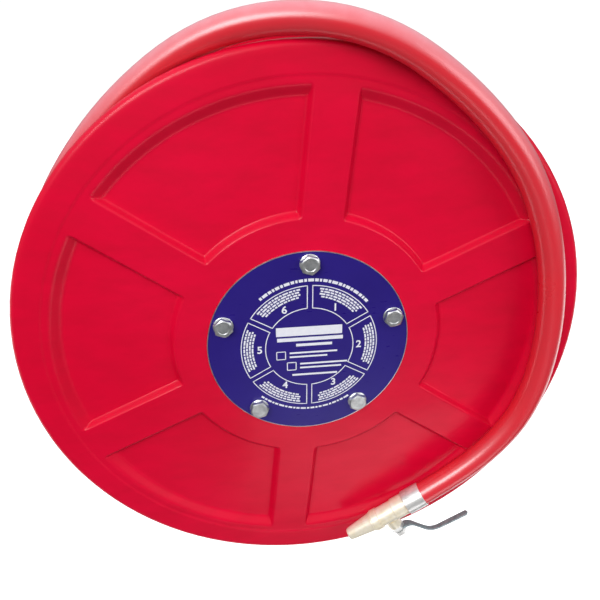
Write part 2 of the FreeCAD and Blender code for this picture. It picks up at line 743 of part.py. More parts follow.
def make_outlet():
    """The pipe from the hub chamber and the coupling that takes the hose through the barrel."""
    outwards = about((0, 1, 0), 90)
    start = s.hub_chamber + 2
    pipe_end = s.hub_radius + s.outlet_length
    pipe = ring("hub_outlet_body", s.outlet_bore, s.outlet_radius, 0, pipe_end - start)
    sub_part(pipe, "hub_outlet", "drum", x=start, z=s.outlet_station, turn=outwards)
    nut = prism("coupling_nut", s.coupling_flats, s.coupling_nut)
    bulge = s.hose_radius * s.hose_radius / (2 * s.barrel_radius)
    stub_length = s.barrel_radius - bulge - pipe_end
    stub = cylinder("coupling_stub", s.hose_radius, stub_length)
    way = cylinder("coupling_way", s.outlet_bore, stub_length)
    coupling = cut("hose_coupling_body", fuse("coupling_solid", nut, stub), way)
    sub_part(coupling, "hose_coupling", "drum", x=pipe_end, z=s.outlet_station, turn=outwards)


def make_winding():
    """The wound hose as one ring that fills the drum between barrel and last layer."""
    low = s.rear_plane + s.sheet + s.recess_depth + s.side_gap
    high = s.front_plane - s.sheet - s.recess_depth - s.side_gap
    winding = ring("hose_winding_body", s.barrel_radius + s.face_gap, s.winding_radius, low, high)
    sub_part(winding, "hose_winding", "drum")


# ---- hose tail and nozzle ----------------------------------------------------------------

# Centreline of the loose end: right of the drum axis, above it, in front of the front disc.
TAIL_ROUTE = (
    (-162, -193, -62), (-216, -135, -62), (-252, -68, -60), (-266, 5, -57), (-260, 74, -52),
    (-236, 136, -46), (-197, 191, -39), (-153, 236, -32), (-100, 274, -21), (-46, 293, -7),
    (10, 295, 5), (60, 282, 13.5), (104, 257, 17), (153, 218, 17), (193, 172, 17), (221, 115, 17),
    (237, 55, 17), (243, -6, 17), (238, -65, 17), (219, -116, 17), (170, -170, 17),
    (110.45, -207.75, 17),
)


def rounded_path(points):
    """Straight runs joined by tangent arcs, each as large as its two runs allow."""
    edges = []
    previous_end = points[0]
    smallest = None
    for before, corner, after in zip(points, points[1:], points[2:]):
        incoming, outgoing = corner - before, after - corner
        reach = 0.45 * min(incoming.Length, outgoing.Length)
        radius = reach / math.tan(incoming.getAngle(outgoing) / 2)
        smallest = min(radius, smallest or radius)
        incoming.normalize()
        outgoing.normalize()
        start, end = corner - incoming * reach, corner + outgoing * reach
        half_turn = math.atan(reach / radius)
        inwards = outgoing - incoming
        inwards.normalize()
        middle = corner + inwards * (radius / math.cos(half_turn) - radius)
        edges.append(Part.LineSegment(previous_end, start).toShape())
        edges.append(Part.Arc(start, middle, end).toShape())
        previous_end = end
    edges.append(Part.LineSegment(previous_end, points[-1]).toShape())
    print("smallest radius of the hose tail: %.0f mm" % smallest)
    return Part.Wire(edges)


def make_tail():
    """The hose's last stretch: off the winding, over the front rim and down to the nozzle."""
    points = [FreeCAD.Vector(x, y, s.front_plane.value + z) for x, y, z in TAIL_ROUTE]
    lap, clock = (s.winding_radius - s.hose_radius).value, math.radians(-155)
    points.insert(0, FreeCAD.Vector(lap * math.sin(clock), lap * math.cos(clock), points[0].z))
    path = rounded_path(points)
    section = Part.Wire(Part.Circle(points[0], points[1] - points[0],
                                    s.hose_radius.value).toShape())
    tube = path.makePipeShell([section], True, False)
    expected = math.pi * s.hose_radius.value ** 2 * path.Length
    print("hose tail %.0f mm long, volume %.4f of its section times its length"
          % (path.Length, tube.Volume / expected))
    sub_part(shaped("hose_tail_tube", tube), "hose_tail", "drum")


def make_nozzle():
    """Ferrule, ball valve body with seats, gland and screwed-in cone."""
    ferrule_radius = s.hose_radius + s.ferrule_wall
    edge = s.ferrule_wall / 2
    profile = ((s.hose_radius, 0), (ferrule_radius - edge, 0), (ferrule_radius, edge),
               (ferrule_radius, s.ferrule_length - edge),
               (ferrule_radius - edge, s.ferrule_length), (s.hose_radius, s.ferrule_length))
    sub_part(turned("hose_ferrule_body", profile), "hose_ferrule", "nozzle")

    start, end = s.ferrule_length, s.valve_end
    ring_end = s.ball_from_start - s.boss_radius - 1.2
    front_ring = s.ball_from_start + s.boss_radius + 1.2
    turned_in = s.valve_radius - 0.7
    cavity = s.ball_radius + s.ball_gap
    ball_low = s.ball_from_start - cavity
    body = turned("valve_body_turned", (
        (s.valve_bore, start), (turned_in, start), (s.valve_radius, start + 0.7),
        (s.valve_radius, ring_end - 0.7), (s.valve_neck, ring_end), (s.valve_neck, front_ring),
        (s.valve_radius, front_ring + 0.7), (s.valve_radius, end - 0.7), (turned_in, end),
        (cavity, end), (cavity, ball_low), (s.valve_bore, ball_low)))
    boss_start = cavity
    across = about((0, 1, 0), 90)
    boss = cylinder("stem_boss", s.boss_radius, s.boss_top - boss_start, boss_start, 0,
                    s.ball_from_start, across)
    cavity_core = cylinder("valve_cavity_core", cavity, end - ball_low, z=ball_low)
    stem_hole = cylinder("stem_hole", s.stem_radius + s.running_gap, s.boss_top, 0, 0,
                         s.ball_from_start, across)
    bossed = cut("valve_bossed", fuse("valve_with_boss", body, boss), cavity_core)
    sub_part(cut("valve_body_cut", bossed, stem_hole), "valve_body", "nozzle")

    spigot_low = s.ball_from_start + cavity
    waist = s.valve_neck - 0.8
    tip_end = end + s.tip_length
    tip = turned("nozzle_tip_body", (
        (s.valve_bore, spigot_low), (cavity, spigot_low), (cavity, end), (s.valve_neck, end),
        (s.valve_neck, end + 1.5), (waist, end + 2.5), (s.tip_radius, tip_end - 2),
        (s.tip_radius - 1, tip_end), (s.tip_bore, tip_end), (s.tip_bore, tip_end - 8)))
    sub_part(tip, "nozzle_tip", "nozzle")

    ball_room = DOCUMENT.addObject("Part::Sphere", "ball_room")
    bind(ball_room, Radius=s.ball_radius + s.running_gap)
    move(ball_room, z=s.ball_from_start)
    seat_thick = as_size(3)
    seats = fuse(
        "seat_rings",
        cut("rear_seat", cylinder("rear_seat_disc", cavity, seat_thick, z=ball_low),
            cylinder("rear_seat_bore", s.valve_bore, seat_thick, z=ball_low)),
        cut("front_seat", cylinder("front_seat_disc", cavity, seat_thick,
                                   z=spigot_low - seat_thick),
            cylinder("front_seat_bore", s.valve_bore, seat_thick, z=spigot_low - seat_thick)))
    sub_part(cut("valve_seats_cut", seats, ball_room), "valve_seats", "nozzle")

    gland = cut("gland_nut_cut",
                prism("gland_hexagon", s.bolt_flats - 2, s.gland_height, s.boss_top, 0,
                      s.ball_from_start, across),
                cylinder("gland_hole", s.stem_radius + s.running_gap, s.gland_height,
                         s.boss_top, 0, s.ball_from_start, across))
    sub_part(gland, "gland_nut", "nozzle")


def eased(points, share=0.24):
    """A line of points with each corner swapped for three points on a soft bend."""
    line = [points[0]]
    for before, corner, after in zip(points, points[1:], points[2:]):
        start = tuple(c + (b - c) * share for b, c in zip(before, corner))
        end = tuple(c + (a - c) * share for a, c in zip(after, corner))
        middle = tuple((p + c * 2 + q) / 4 for p, c, q in zip(start, corner, end))
        line += [start, middle, end]
    return tuple(line) + (points[-1],)


def make_valve_drive():
    """The quarter-turn ball with its stem, cranked lever and lever nut."""
    across = about((0, 1, 0), 90)
    centre = s.ball_from_start
    sphere = DOCUMENT.addObject("Part::Sphere", "ball_sphere")
    bind(sphere, Radius=s.ball_radius)
    move(sphere, z=centre)
    way = cylinder("ball_way", s.ball_bore, 4 * s.ball_radius, z=centre - 2 * s.ball_radius)
    foot = s.ball_radius - 2
    slot = cylinder("ball_slot", s.stem_radius, s.ball_radius, foot, 0, centre, across)
    sub_part(cut("valve_ball_cut", sphere, fuse("ball_cuts", way, slot)), "valve_ball", "nozzle")

    stem_top = s.lever_low + s.lever_thick + s.lever_nut_height + 1.5
    stem = cylinder("valve_stem_rod", s.stem_radius, stem_top - foot)
    sub_part(stem, "valve_stem", "nozzle")
    place_across(stem, foot, centre)

    body = new_body("lever_body")
    strip = new_sketch(body, "XZ_Plane", height=-s.lever_width / 2)
    low, thick = s.lever_low, s.lever_thick
    crank_top = low + s.lever_crank
    heel = centre + s.boss_radius
    knee = centre - s.boss_radius - 6.5
    elbow = knee - s.lever_crank * 0.52
    grip_end = elbow - s.lever_grip
    inside = eased(((low, heel), (low, knee), (crank_top, elbow), (crank_top + 3, grip_end)))
    outside = eased(((low + thick, heel), (low + thick, knee + thick * 0.5),
                     (crank_top + thick, elbow + thick * 0.5),
                     (crank_top + 3 + thick, grip_end)))
    draw_polygon(strip, inside + outside[::-1])
    pad(body, strip, s.lever_width)
    hole = cylinder("lever_hole", s.stem_radius, 2 * thick, low - thick / 2, 0, centre, across)
    sub_part(cut("lever_drilled", body, hole), "lever", "nozzle")

    nut_low = low + thick
    nut = cut("lever_nut_cut",
              prism("lever_nut_hexagon", s.bolt_flats - 4, s.lever_nut_height, nut_low, 0,
                    centre, across),
              cylinder("lever_nut_thread", s.stem_radius, s.lever_nut_height, nut_low, 0,
                       centre, across))
    sub_part(nut, "lever_nut", "nozzle")


def place_across(thing, along_x, along_z):
    """Lay a nozzle-frame cylinder along the valve stem's axis."""
    frame = thing.Placement
    offset = FreeCAD.Vector(along_x.value, 0, along_z.value)
    shift = frame.Rotation.multVec(offset)
    thing.Placement = FreeCAD.Placement(frame.Base, frame.Rotation * about((0, 1, 0), 90))
    for letter in "xyz":
        path = "Placement.Base." + letter
        formula = dict(thing.ExpressionEngine)["." + path]
        thing.setExpression(path, formula + " + (" + repr(getattr(shift, letter)) + ")")


# ---- build and write ---------------------------------------------------------------------

def check_document():
    for thing in DOCUMENT.Objects:
        if "Invalid" in thing.State or "Error" in thing.State:
            raise RuntimeError(thing.Name + " failed to build")
    for thing in SUB_PARTS:
        if thing.Shape.isNull() or not thing.Shape.isValid():
            raise RuntimeError(thing.Label + " has no valid shape")


def main():
    make_wall_plate()
    make_lug("upper_lug", s.lug_height)
    make_lug("lower_lug", -s.lug_top)
    make_swing_bush("upper_bush", s.lug_height, flange_up=False)
    make_swing_bush("lower_bush", -s.lug_top, flange_up=True)
    make_inlet()
    make_pivot_pipe()
    make_collars()
    make_arm_pipe()
    make_arm_elbow()
    make_gusset("upper_gusset", 1)
    make_gusset("lower_gusset", -1)
    make_spindle()
    make_spindle_nut()
    make_disc("front_disc", s.front_plane)
    make_disc("rear_disc", s.rear_plane, about((0, 1, 0), 180))
    make_barrel()
    make_hub()
    make_hub_plate("front_hub_plate", s.hub_front, s.disc_hole)
    make_hub_plate("rear_hub_plate", s.rear_plane + s.sheet, s.disc_hole)
    make_label_plate()
    bolt_play = as_size(3)
    grip = s.label_thick + s.sheet + s.hub_plate + s.nut_height + bolt_play
    make_bolts("front", s.front_plane + s.label_thick, grip, s.hub_front - s.nut_height, 1)
    make_bolts("rear", s.rear_plane, grip - s.label_thick, s.hub_rear, -1)
    make_outlet()
    make_winding()
    make_tail()
    make_nozzle()
    make_valve_drive()
    DOCUMENT.recompute()
    check_document()
    os.makedirs("parts", exist_ok=True)
    for thing in SUB_PARTS:
        thing.Shape.exportStep("parts/" + thing.Label + ".step")
    print(len(SUB_PARTS), "sub-parts written")


main()
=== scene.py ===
"""Looks of the wall-mounted fire hose reel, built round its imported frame. Lengths are in metres."""

import json
import math

import bmesh
import bpy
from mathutils import Matrix, Vector


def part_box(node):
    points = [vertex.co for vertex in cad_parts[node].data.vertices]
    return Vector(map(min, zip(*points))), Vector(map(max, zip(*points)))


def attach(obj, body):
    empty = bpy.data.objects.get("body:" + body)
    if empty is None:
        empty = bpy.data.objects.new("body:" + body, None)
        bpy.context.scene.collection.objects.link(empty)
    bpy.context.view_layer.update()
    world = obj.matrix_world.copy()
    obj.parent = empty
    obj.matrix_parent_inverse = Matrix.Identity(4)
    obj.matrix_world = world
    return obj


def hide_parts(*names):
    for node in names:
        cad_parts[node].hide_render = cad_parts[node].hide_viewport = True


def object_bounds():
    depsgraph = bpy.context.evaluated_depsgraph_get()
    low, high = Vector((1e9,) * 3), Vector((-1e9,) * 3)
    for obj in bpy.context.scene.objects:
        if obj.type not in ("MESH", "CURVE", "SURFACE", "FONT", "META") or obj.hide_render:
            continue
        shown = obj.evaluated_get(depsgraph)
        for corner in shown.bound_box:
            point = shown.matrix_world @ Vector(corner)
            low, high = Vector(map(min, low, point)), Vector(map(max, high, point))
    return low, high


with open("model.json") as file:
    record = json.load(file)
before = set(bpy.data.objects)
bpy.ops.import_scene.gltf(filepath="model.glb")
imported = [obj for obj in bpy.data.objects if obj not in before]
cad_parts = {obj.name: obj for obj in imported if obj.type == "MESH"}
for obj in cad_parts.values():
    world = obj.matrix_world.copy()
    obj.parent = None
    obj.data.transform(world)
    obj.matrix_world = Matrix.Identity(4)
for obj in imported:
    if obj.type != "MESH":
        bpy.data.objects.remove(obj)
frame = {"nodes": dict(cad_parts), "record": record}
CAD_BOX = [list(corner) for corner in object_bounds()]

# ---- places taken from the frame ---------------------------------------------------------

DISC_LOW, DISC_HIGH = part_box("front_disc")
AXIS_X = (DISC_LOW.x + DISC_HIGH.x) / 2
AXIS_Z = (DISC_LOW.z + DISC_HIGH.z) / 2
RIM_RADIUS = (DISC_HIGH.x - DISC_LOW.x) / 2
FRONT_Y = DISC_LOW.y
REAR_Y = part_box("rear_disc")[1].y
BARREL_LOW, BARREL_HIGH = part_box("barrel")
BARREL_RADIUS = (BARREL_HIGH.x - BARREL_LOW.x) / 2
WINDING_LOW, WINDING_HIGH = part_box("hose_winding")
LABEL_LOW, LABEL_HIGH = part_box("label_plate")
LABEL_Y = LABEL_LOW.y
BOLTS_LOW, BOLTS_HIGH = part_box("front_bolts")
BACK_BOLTS_LOW, BACK_BOLTS_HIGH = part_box("rear_bolts")
BOLT_CIRCLE, BOLT_RADIUS, BOLT_FLATS, BOLT_COUNT = 0.0875, 0.005, 0.017, 5
WASHER_RADIUS, WASHER_THICK = 0.0098, 0.001
HOSE_RADIUS, HOSE_LENGTH = 0.0127, 30.0


def drum_point(right, up, forward):
    """A point given from the drum axis on the front disc's face, looking at the reel."""
    return Vector((AXIS_X + right, FRONT_Y - forward, AXIS_Z + up))


def drum_polar(radius, clock, forward):
    """The same, by radius and clockwise angle from the top."""
    return drum_point(radius * math.sin(clock), radius * math.cos(clock), forward)


# ---- camera, floor and light -------------------------------------------------------------

def make_camera():
    """A near view, a little from the left and from above the drum axis."""
    azimuth, elevation, distance = math.radians(-7.36), math.radians(26.32), 0.5730
    target = drum_point(-0.0090, 0.0500, 0)
    back = Vector((math.sin(azimuth) * math.cos(elevation),
                   -math.cos(azimuth) * math.cos(elevation), math.sin(elevation)))
    data = bpy.data.cameras.new("camera")
    data.lens = 36
    data.sensor_width = 36
    data.clip_start = 0.02
    camera = bpy.data.objects.new("camera", data)
    camera.location = target + back * distance
    camera.rotation_mode = "QUATERNION"
    camera.rotation_quaternion = (-back).to_track_quat("-Z", "Y")
    bpy.context.scene.collection.objects.link(camera)
    bpy.context.scene.camera = camera
    bpy.context.scene.view_settings.view_transform = "Standard"


def area_light(name, place, target, size, power):
    """A soft oblong lamp that faces a point."""
    data = bpy.data.lights.new(name, "AREA")
    data.shape = "RECTANGLE"
    data.size, data.size_y = size
    data.energy = power
    light = bpy.data.objects.new(name, data)
    light.location = place
    light.rotation_mode = "QUATERNION"
    light.rotation_quaternion = (Vector(target) - Vector(place)).to_track_quat("-Z", "Y")
    bpy.context.scene.collection.objects.link(light)


def make_stage():
    """A pale floor well below the reel, a bright even surround and soft lamps."""
    floor_z = CAD_BOX[0][2] - 0.45
    mesh = bpy.data.meshes.new("floor")
    near, far = FRONT_Y - 0.05, 5.0
    mesh.from_pydata([(-4, near, floor_z), (4, near, floor_z), (4, far, floor_z),
                      (-4, far, floor_z)], [], [(0, 1, 2, 3)])
    floor = bpy.data.objects.new("floor", mesh)
    bpy.context.scene.collection.objects.link(floor)
    floor.data.materials.append(plain_white("pale_floor"))
    make_surround()
    centre = drum_point(0, 0, 0)
    area_light("key", drum_point(-1.2, 1.4, 1.9), centre, (1.5, 1.1), 46)
    area_light("fill", drum_point(1.7, 0.7, 1.5), centre, (1.3, 1.3), 15)
    area_light("low_strip", drum_point(0.45, -1.25, 1.2), centre, (1.0, 0.4), 2.6)


def make_surround():
    """A white backdrop for the eye, and a room lit from above for light and reflections."""
    world = bpy.data.worlds.new("studio")
    bpy.context.scene.world = world
    world.use_nodes = True
    tree = world.node_tree
    room = tree.nodes["Background"]
    room.inputs["Color"].default_value = (0.95, 0.97, 1.0, 1)
    direction = tree.nodes.new("ShaderNodeSeparateXYZ")
    tree.links.new(tree.nodes.new("ShaderNodeTexCoord").outputs["Generated"],
                   direction.inputs["Vector"])
    height = tree.nodes.new("ShaderNodeMapRange")
    for name, value in (("From Min", -0.1), ("From Max", 0.7), ("To Min", 0.10), ("To Max", 0.8)):
        height.inputs[name].default_value = value
    tree.links.new(direction.outputs["Z"], height.inputs["Value"])
    tree.links.new(height.outputs["Result"], room.inputs["Strength"])
    backdrop = tree.nodes.new("ShaderNodeBackground")
    backdrop.inputs["Color"].default_value = (1, 1, 1, 1)
    backdrop.inputs["Strength"].default_value = 1.05
    ray = tree.nodes.new("ShaderNodeLightPath")
    chosen = tree.nodes.new("ShaderNodeMixShader")
    tree.links.new(ray.outputs["Is Camera Ray"], chosen.inputs["Fac"])
    tree.links.new(room.outputs["Background"], chosen.inputs[1])
    tree.links.new(backdrop.outputs["Background"], chosen.inputs[2])
    tree.links.new(chosen.outputs["Shader"], tree.nodes["World Output"].inputs["Surface"])


def plain_white(name):
    """The floor's matt white."""
    material = bpy.data.materials.new(name)
    material.use_nodes = True
    shader = material.node_tree.nodes["Principled BSDF"]
    shader.inputs["Base Color"].default_value = (0.95, 0.95, 0.95, 1)
    shader.inputs["Roughness"].default_value = 0.9
    shader.inputs["Emission Color"].default_value = (1, 1, 1, 1)
    shader.inputs["Emission Strength"].default_value = 0.7
    return material


# ---- hose --------------------------------------------------------------------------------

# Centreline of the loose end: right of the drum axis, above it, in front of the front disc.
TAIL_ROUTE = (
    (-0.162, -0.193, -0.062), (-0.216, -0.135, -0.062), (-0.252, -0.068, -0.060),
    (-0.266, 0.005, -0.057), (-0.260, 0.074, -0.052), (-0.236, 0.136, -0.046),
    (-0.197, 0.191, -0.039), (-0.153, 0.236, -0.032), (-0.100, 0.274, -0.021),
    (-0.046, 0.293, -0.007), (0.010, 0.295, 0.005), (0.060, 0.282, 0.0135), (0.104, 0.257, 0.017),
    (0.153, 0.218, 0.017), (0.193, 0.172, 0.017), (0.221, 0.115, 0.017), (0.237, 0.055, 0.017),
    (0.243, -0.006, 0.017), (0.238, -0.065, 0.017), (0.219, -0.116, 0.017),
    (0.170, -0.170, 0.017), (0.11045, -0.20775, 0.017),
)
LAYERS, TURNS_ACROSS, POINTS_PER_TURN = 5, 5, 16
# The hose leaves the coupling at the right, and the last turn ends lower left of the axis.
FIRST_CLOCK, LAST_CLOCK = math.radians(90), math.radians(-140)
WOUND_TURNS = LAYERS * TURNS_ACROSS - 2
BARREL_GAP = 0.0003
# A layer climbs to the next over the last part of its run across the barrel.
CLIMB_FROM, CLIMB_SHARE = 0.93, 0.07


def winding_points():
    """Turn beside turn and layer on layer, ending where the loose end begins."""
    spread = 1 / math.cos(math.pi / POINTS_PER_TURN)
    side_low = FRONT_Y - WINDING_HIGH.y + HOSE_RADIUS
    side_high = FRONT_Y - WINDING_LOW.y - HOSE_RADIUS
    sweep = WOUND_TURNS * 2 * math.pi + (LAST_CLOCK - FIRST_CLOCK) % (2 * math.pi)
    steps = round(sweep / (2 * math.pi) * POINTS_PER_TURN)
    points = []
    for step in range(steps):
        turns = step / POINTS_PER_TURN
        layer = min(int(turns / TURNS_ACROSS), LAYERS - 1)
        along = turns / TURNS_ACROSS - layer
        lift = max(0.0, (along - CLIMB_FROM) / CLIMB_SHARE) if layer < LAYERS - 1 else 0.0
        radius = BARREL_RADIUS + BARREL_GAP + HOSE_RADIUS * (1 + 2 * (layer + lift))
        from_front = 1 - along if layer % 2 == 0 else along
        forward = side_high + (side_low - side_high) * from_front
        clock = FIRST_CLOCK + sweep * step / steps
        points.append(drum_polar(radius * spread, clock, forward))
    return points


def make_hose():
    """The whole hose, wound and loose, as one smooth line."""
    points = winding_points()
    points += [drum_point(*place) for place in TAIL_ROUTE]
    curve = bpy.data.curves.new("hose", "CURVE")
    curve.dimensions = "3D"
    spline = curve.splines.new("NURBS")
    spline.points.add(len(points) - 1)
    for target, place in zip(spline.points, points):
        target.co = (*place, 1)
    spline.order_u = 3
    spline.use_endpoint_u = True
    curve.resolution_u = 5
    curve.bevel_depth = HOSE_RADIUS
    curve.bevel_resolution = 6
    curve.use_fill_caps = True
    hose = bpy.data.objects.new("hose", curve)
    bpy.context.scene.collection.objects.link(hose)
    return hose


# ---- materials ---------------------------------------------------------------------------

class Finish:
    """A procedural material with short helpers for its nodes."""

    def __init__(self, name, colour, roughness, metallic=0.0):
        self.material = bpy.data.materials.new(name)
        self.material.use_nodes = True
        self.tree = self.material.node_tree
        self.shader = self.tree.nodes["Principled BSDF"]
        self.shader.inputs["Base Color"].default_value = (*colour, 1)
        self.shader.inputs["Roughness"].default_value = roughness
        self.shader.inputs["Metallic"].default_value = metallic
        self.place = self.node("ShaderNodeTexCoord").outputs["Object"]

    def node(self, kind, **settings):
        made = self.tree.nodes.new(kind)
        for name, value in settings.items():
            setattr(made, name, value)
        return made

    def link(self, source, target):
        self.tree.links.new(source, target)

    def noise(self, scale, detail=3.0, roughness=0.55, stretch=(1, 1, 1), turn=(0, 0, 0)):
        mapping = self.node("ShaderNodeMapping")
        mapping.inputs["Scale"].default_value = stretch
        mapping.inputs["Rotation"].default_value = turn
        self.link(self.place, mapping.inputs["Vector"])
        texture = self.node("ShaderNodeTexNoise")
        texture.inputs["Scale"].default_value = scale
        texture.inputs["Detail"].default_value = detail
        texture.inputs["Roughness"].default_value = roughness
        self.link(mapping.outputs["Vector"], texture.inputs["Vector"])
        return texture.outputs["Fac"]

    def ramp(self, source, stops):
        """Colours or greys at positions along a factor."""
        made = self.node("ShaderNodeValToRGB")
        band = made.color_ramp
        while len(band.elements) < len(stops):
            band.elements.new(0.5)
        for element, (position, colour) in zip(band.elements, stops):
            element.position = position
            grey = not isinstance(colour, tuple)
            element.color = (colour, colour, colour, 1) if grey else (*colour, 1)
        self.link(source, made.inputs["Fac"])
        return made.outputs["Color"]

    def spread(self, source, low, high):
        """A factor mapped from 0..1 to low..high."""
        made = self.node("ShaderNodeMapRange")
        made.inputs["To Min"].default_value = low
        made.inputs["To Max"].default_value = high
        self.link(source, made.inputs["Value"])
        return made.outputs["Result"]

    def mix(self, factor, first, second):
        made = self.node("ShaderNodeMix", data_type="RGBA")
        self.put(factor, made.inputs[0])
        self.put(first, made.inputs[6])
        self.put(second, made.inputs[7])
        return made.outputs[2]

    def math(self, operation, first, second=0.0):
        made = self.node("ShaderNodeMath", operation=operation)
        self.put(first, made.inputs[0])
        self.put(second, made.inputs[1])
        return made.outputs["Value"]

    def put(self, value, socket):
        if isinstance(value, bpy.types.NodeSocket):
            self.link(value, socket)
        elif isinstance(value, tuple):
            socket.default_value = (*value, 1)
        else:
            socket.default_value = value

    def bump(self, height, strength, distance, after=None):
        made = self.node("ShaderNodeBump")
        made.inputs["Strength"].default_value = strength
        made.inputs["Distance"].default_value = distance
        self.link(height, made.inputs["Height"])
        if after is not None:
            self.link(after, made.inputs["Normal"])
        self.link(made.outputs["Normal"], self.shader.inputs["Normal"])
        return made.outputs["Normal"]

    def set(self, **values):
        for name, value in values.items():
            self.put(value, self.shader.inputs[name.replace("_", " ")])

    def facing_up(self):
        """How far the surface faces upwards, 0 to 1."""
        parts = self.node("ShaderNodeSeparateXYZ")
        self.link(self.node("ShaderNodeTexCoord").outputs["Normal"], parts.inputs["Vector"])
        return self.math("MAXIMUM", parts.outputs["Z"], 0.0)


def red_enamel(name, deep, light):
    """Stoved gloss enamel: slow colour drift, wiped smears, orange peel and rub marks."""
    finish = Finish(name, deep, 0.3)
    drift = finish.noise(5.0, 2.0)
    smears = finish.noise(26.0, 4.0, stretch=(1, 1, 2.4), turn=(0, 0.6, 0))
    shade = finish.mix(finish.spread(drift, -0.3, 1.3), deep, light)
    dull = tuple(0.86 * channel for channel in deep)
    finish.set(Base_Color=finish.mix(finish.spread(smears, -0.5, 0.8), shade, dull))
    finish.set(Roughness=finish.spread(smears, 0.26, 0.44))
    finish.set(Specular_IOR_Level=0.22)
    peel = finish.noise(700.0, 1.0)
    slow = finish.noise(18.0, 1.0)
    waves = finish.bump(slow, 0.35, 0.0015)
    finish.bump(peel, 0.06, 0.00012, waves)
    finish.set(Coat_Weight=0.08)
    finish.set(Coat_Roughness=0.12)
    return finish.material


def hose_rubber():
    """Glossy red rubber with faint scuffs; its upper side is pale pink, partly dust and partly a
    painted sheen of light from above.
    """
    finish = Finish("hose_rubber", (0.66, 0.016, 0.03), 0.3)
    patches = finish.noise(24.0, 4.0)
    body = finish.mix(patches, (0.82, 0.014, 0.028), (0.68, 0.024, 0.042))
    # Painted sheen with dust: surfaces facing up, high on the reel, are mixed towards pale pink
    # (0.84, 0.36, 0.41) to stand for light from above as well as dust.
    upper = finish.math("POWER", finish.facing_up(), 0.95)
    shelf = finish.node("ShaderNodeSeparateXYZ")
    finish.link(finish.place, shelf.inputs["Vector"])
    high = finish.node("ShaderNodeMapRange", interpolation_type="SMOOTHSTEP")
    high.inputs["From Min"].default_value, high.inputs["From Max"].default_value = 0.04, 0.24
    finish.link(shelf.outputs["Z"], high.inputs["Value"])
    top_dust_and_sheen = finish.math("MULTIPLY", upper, high.outputs["Result"])
    dust_and_sheen = finish.math("MULTIPLY", top_dust_and_sheen, finish.spread(finish.noise(55.0, 6.0), 0.5, 1.2))
    finish.set(Base_Color=finish.mix(dust_and_sheen, body, (0.84, 0.36, 0.41)))
    dull = finish.math("ADD", finish.math("MULTIPLY", dust_and_sheen, 0.35),
                       finish.spread(patches, 0.24, 0.34))
    finish.set(Roughness=dull)
    scuffs = finish.bump(finish.noise(38.0, 3.0), 0.10, 0.0006)
    finish.bump(finish.noise(900.0, 2.0), 0.10, 0.00012, scuffs)
    finish.set(Specular_IOR_Level=1.0)
    finish.set(Coat_Weight=0.5)
    finish.set(Coat_Roughness=0.26)
    return finish.material


def blue_enamel():
    """The cover plate's deep violet-blue enamel, lightly rubbed."""
    finish = Finish("cover_blue_enamel", (0.020, 0.009, 0.18), 0.3)
    drift = finish.noise(14.0, 3.0)
    finish.set(Base_Color=finish.mix(drift, (0.016, 0.007, 0.15), (0.028, 0.014, 0.23)))
    rubs = finish.noise(60.0, 5.0, stretch=(1, 1, 5), turn=(0, 0.9, 0))
    finish.set(Roughness=finish.spread(rubs, 0.2, 0.42))
    finish.bump(finish.noise(400.0, 2.0), 0.05, 0.0002)
    finish.set(Specular_IOR_Level=0.3)
    return finish.material


def white_print():
    """The cover's printed white ink, a little worn."""
    finish = Finish("white_print", (0.86, 0.86, 0.90), 0.45)
    wear = finish.noise(300.0, 4.0)
    finish.set(Base_Color=finish.mix(wear, (0.90, 0.90, 0.94), (0.74, 0.74, 0.84)))
    finish.bump(wear, 0.05, 0.0001)
    return finish.material


def metal(name, light, dark, roughness, grain=220.0, marks=0.1, stretch=(1, 1, 1), shine=1.0):
    """Plain or plated metal with mottling, fine grain and dulled spots."""
    finish = Finish(name, light, roughness, shine)
    mottle = finish.noise(grain, 5.0, stretch=stretch)
    stops = ((0.35, dark), (0.62, light))
    finish.set(Base_Color=finish.ramp(mottle, stops))
    finish.set(Roughness=finish.spread(finish.noise(grain * 0.4, 3.0), roughness - 0.07,
                                       roughness + 0.12))
    finish.bump(finish.noise(grain * 3, 3.0, stretch=stretch), marks, 0.0002)
    return finish.material


def dark_rubber():
    """Matt black rubber of the seals."""
    finish = Finish("seal_rubber", (0.02, 0.02, 0.02), 0.6)
    finish.set(Base_Color=finish.mix(finish.noise(120.0), (0.015, 0.015, 0.015),
                                     (0.04, 0.04, 0.04)))
    finish.bump(finish.noise(500.0), 0.1, 0.0002)
    return finish.material


def seat_plastic():
    """Off-white plastic of the valve seats."""
    finish = Finish("seat_plastic", (0.8, 0.8, 0.77), 0.4)
    finish.set(Base_Color=finish.mix(finish.noise(90.0), (0.84, 0.84, 0.81), (0.74, 0.73, 0.70)))
    finish.bump(finish.noise(400.0), 0.05, 0.0002)
    return finish.material


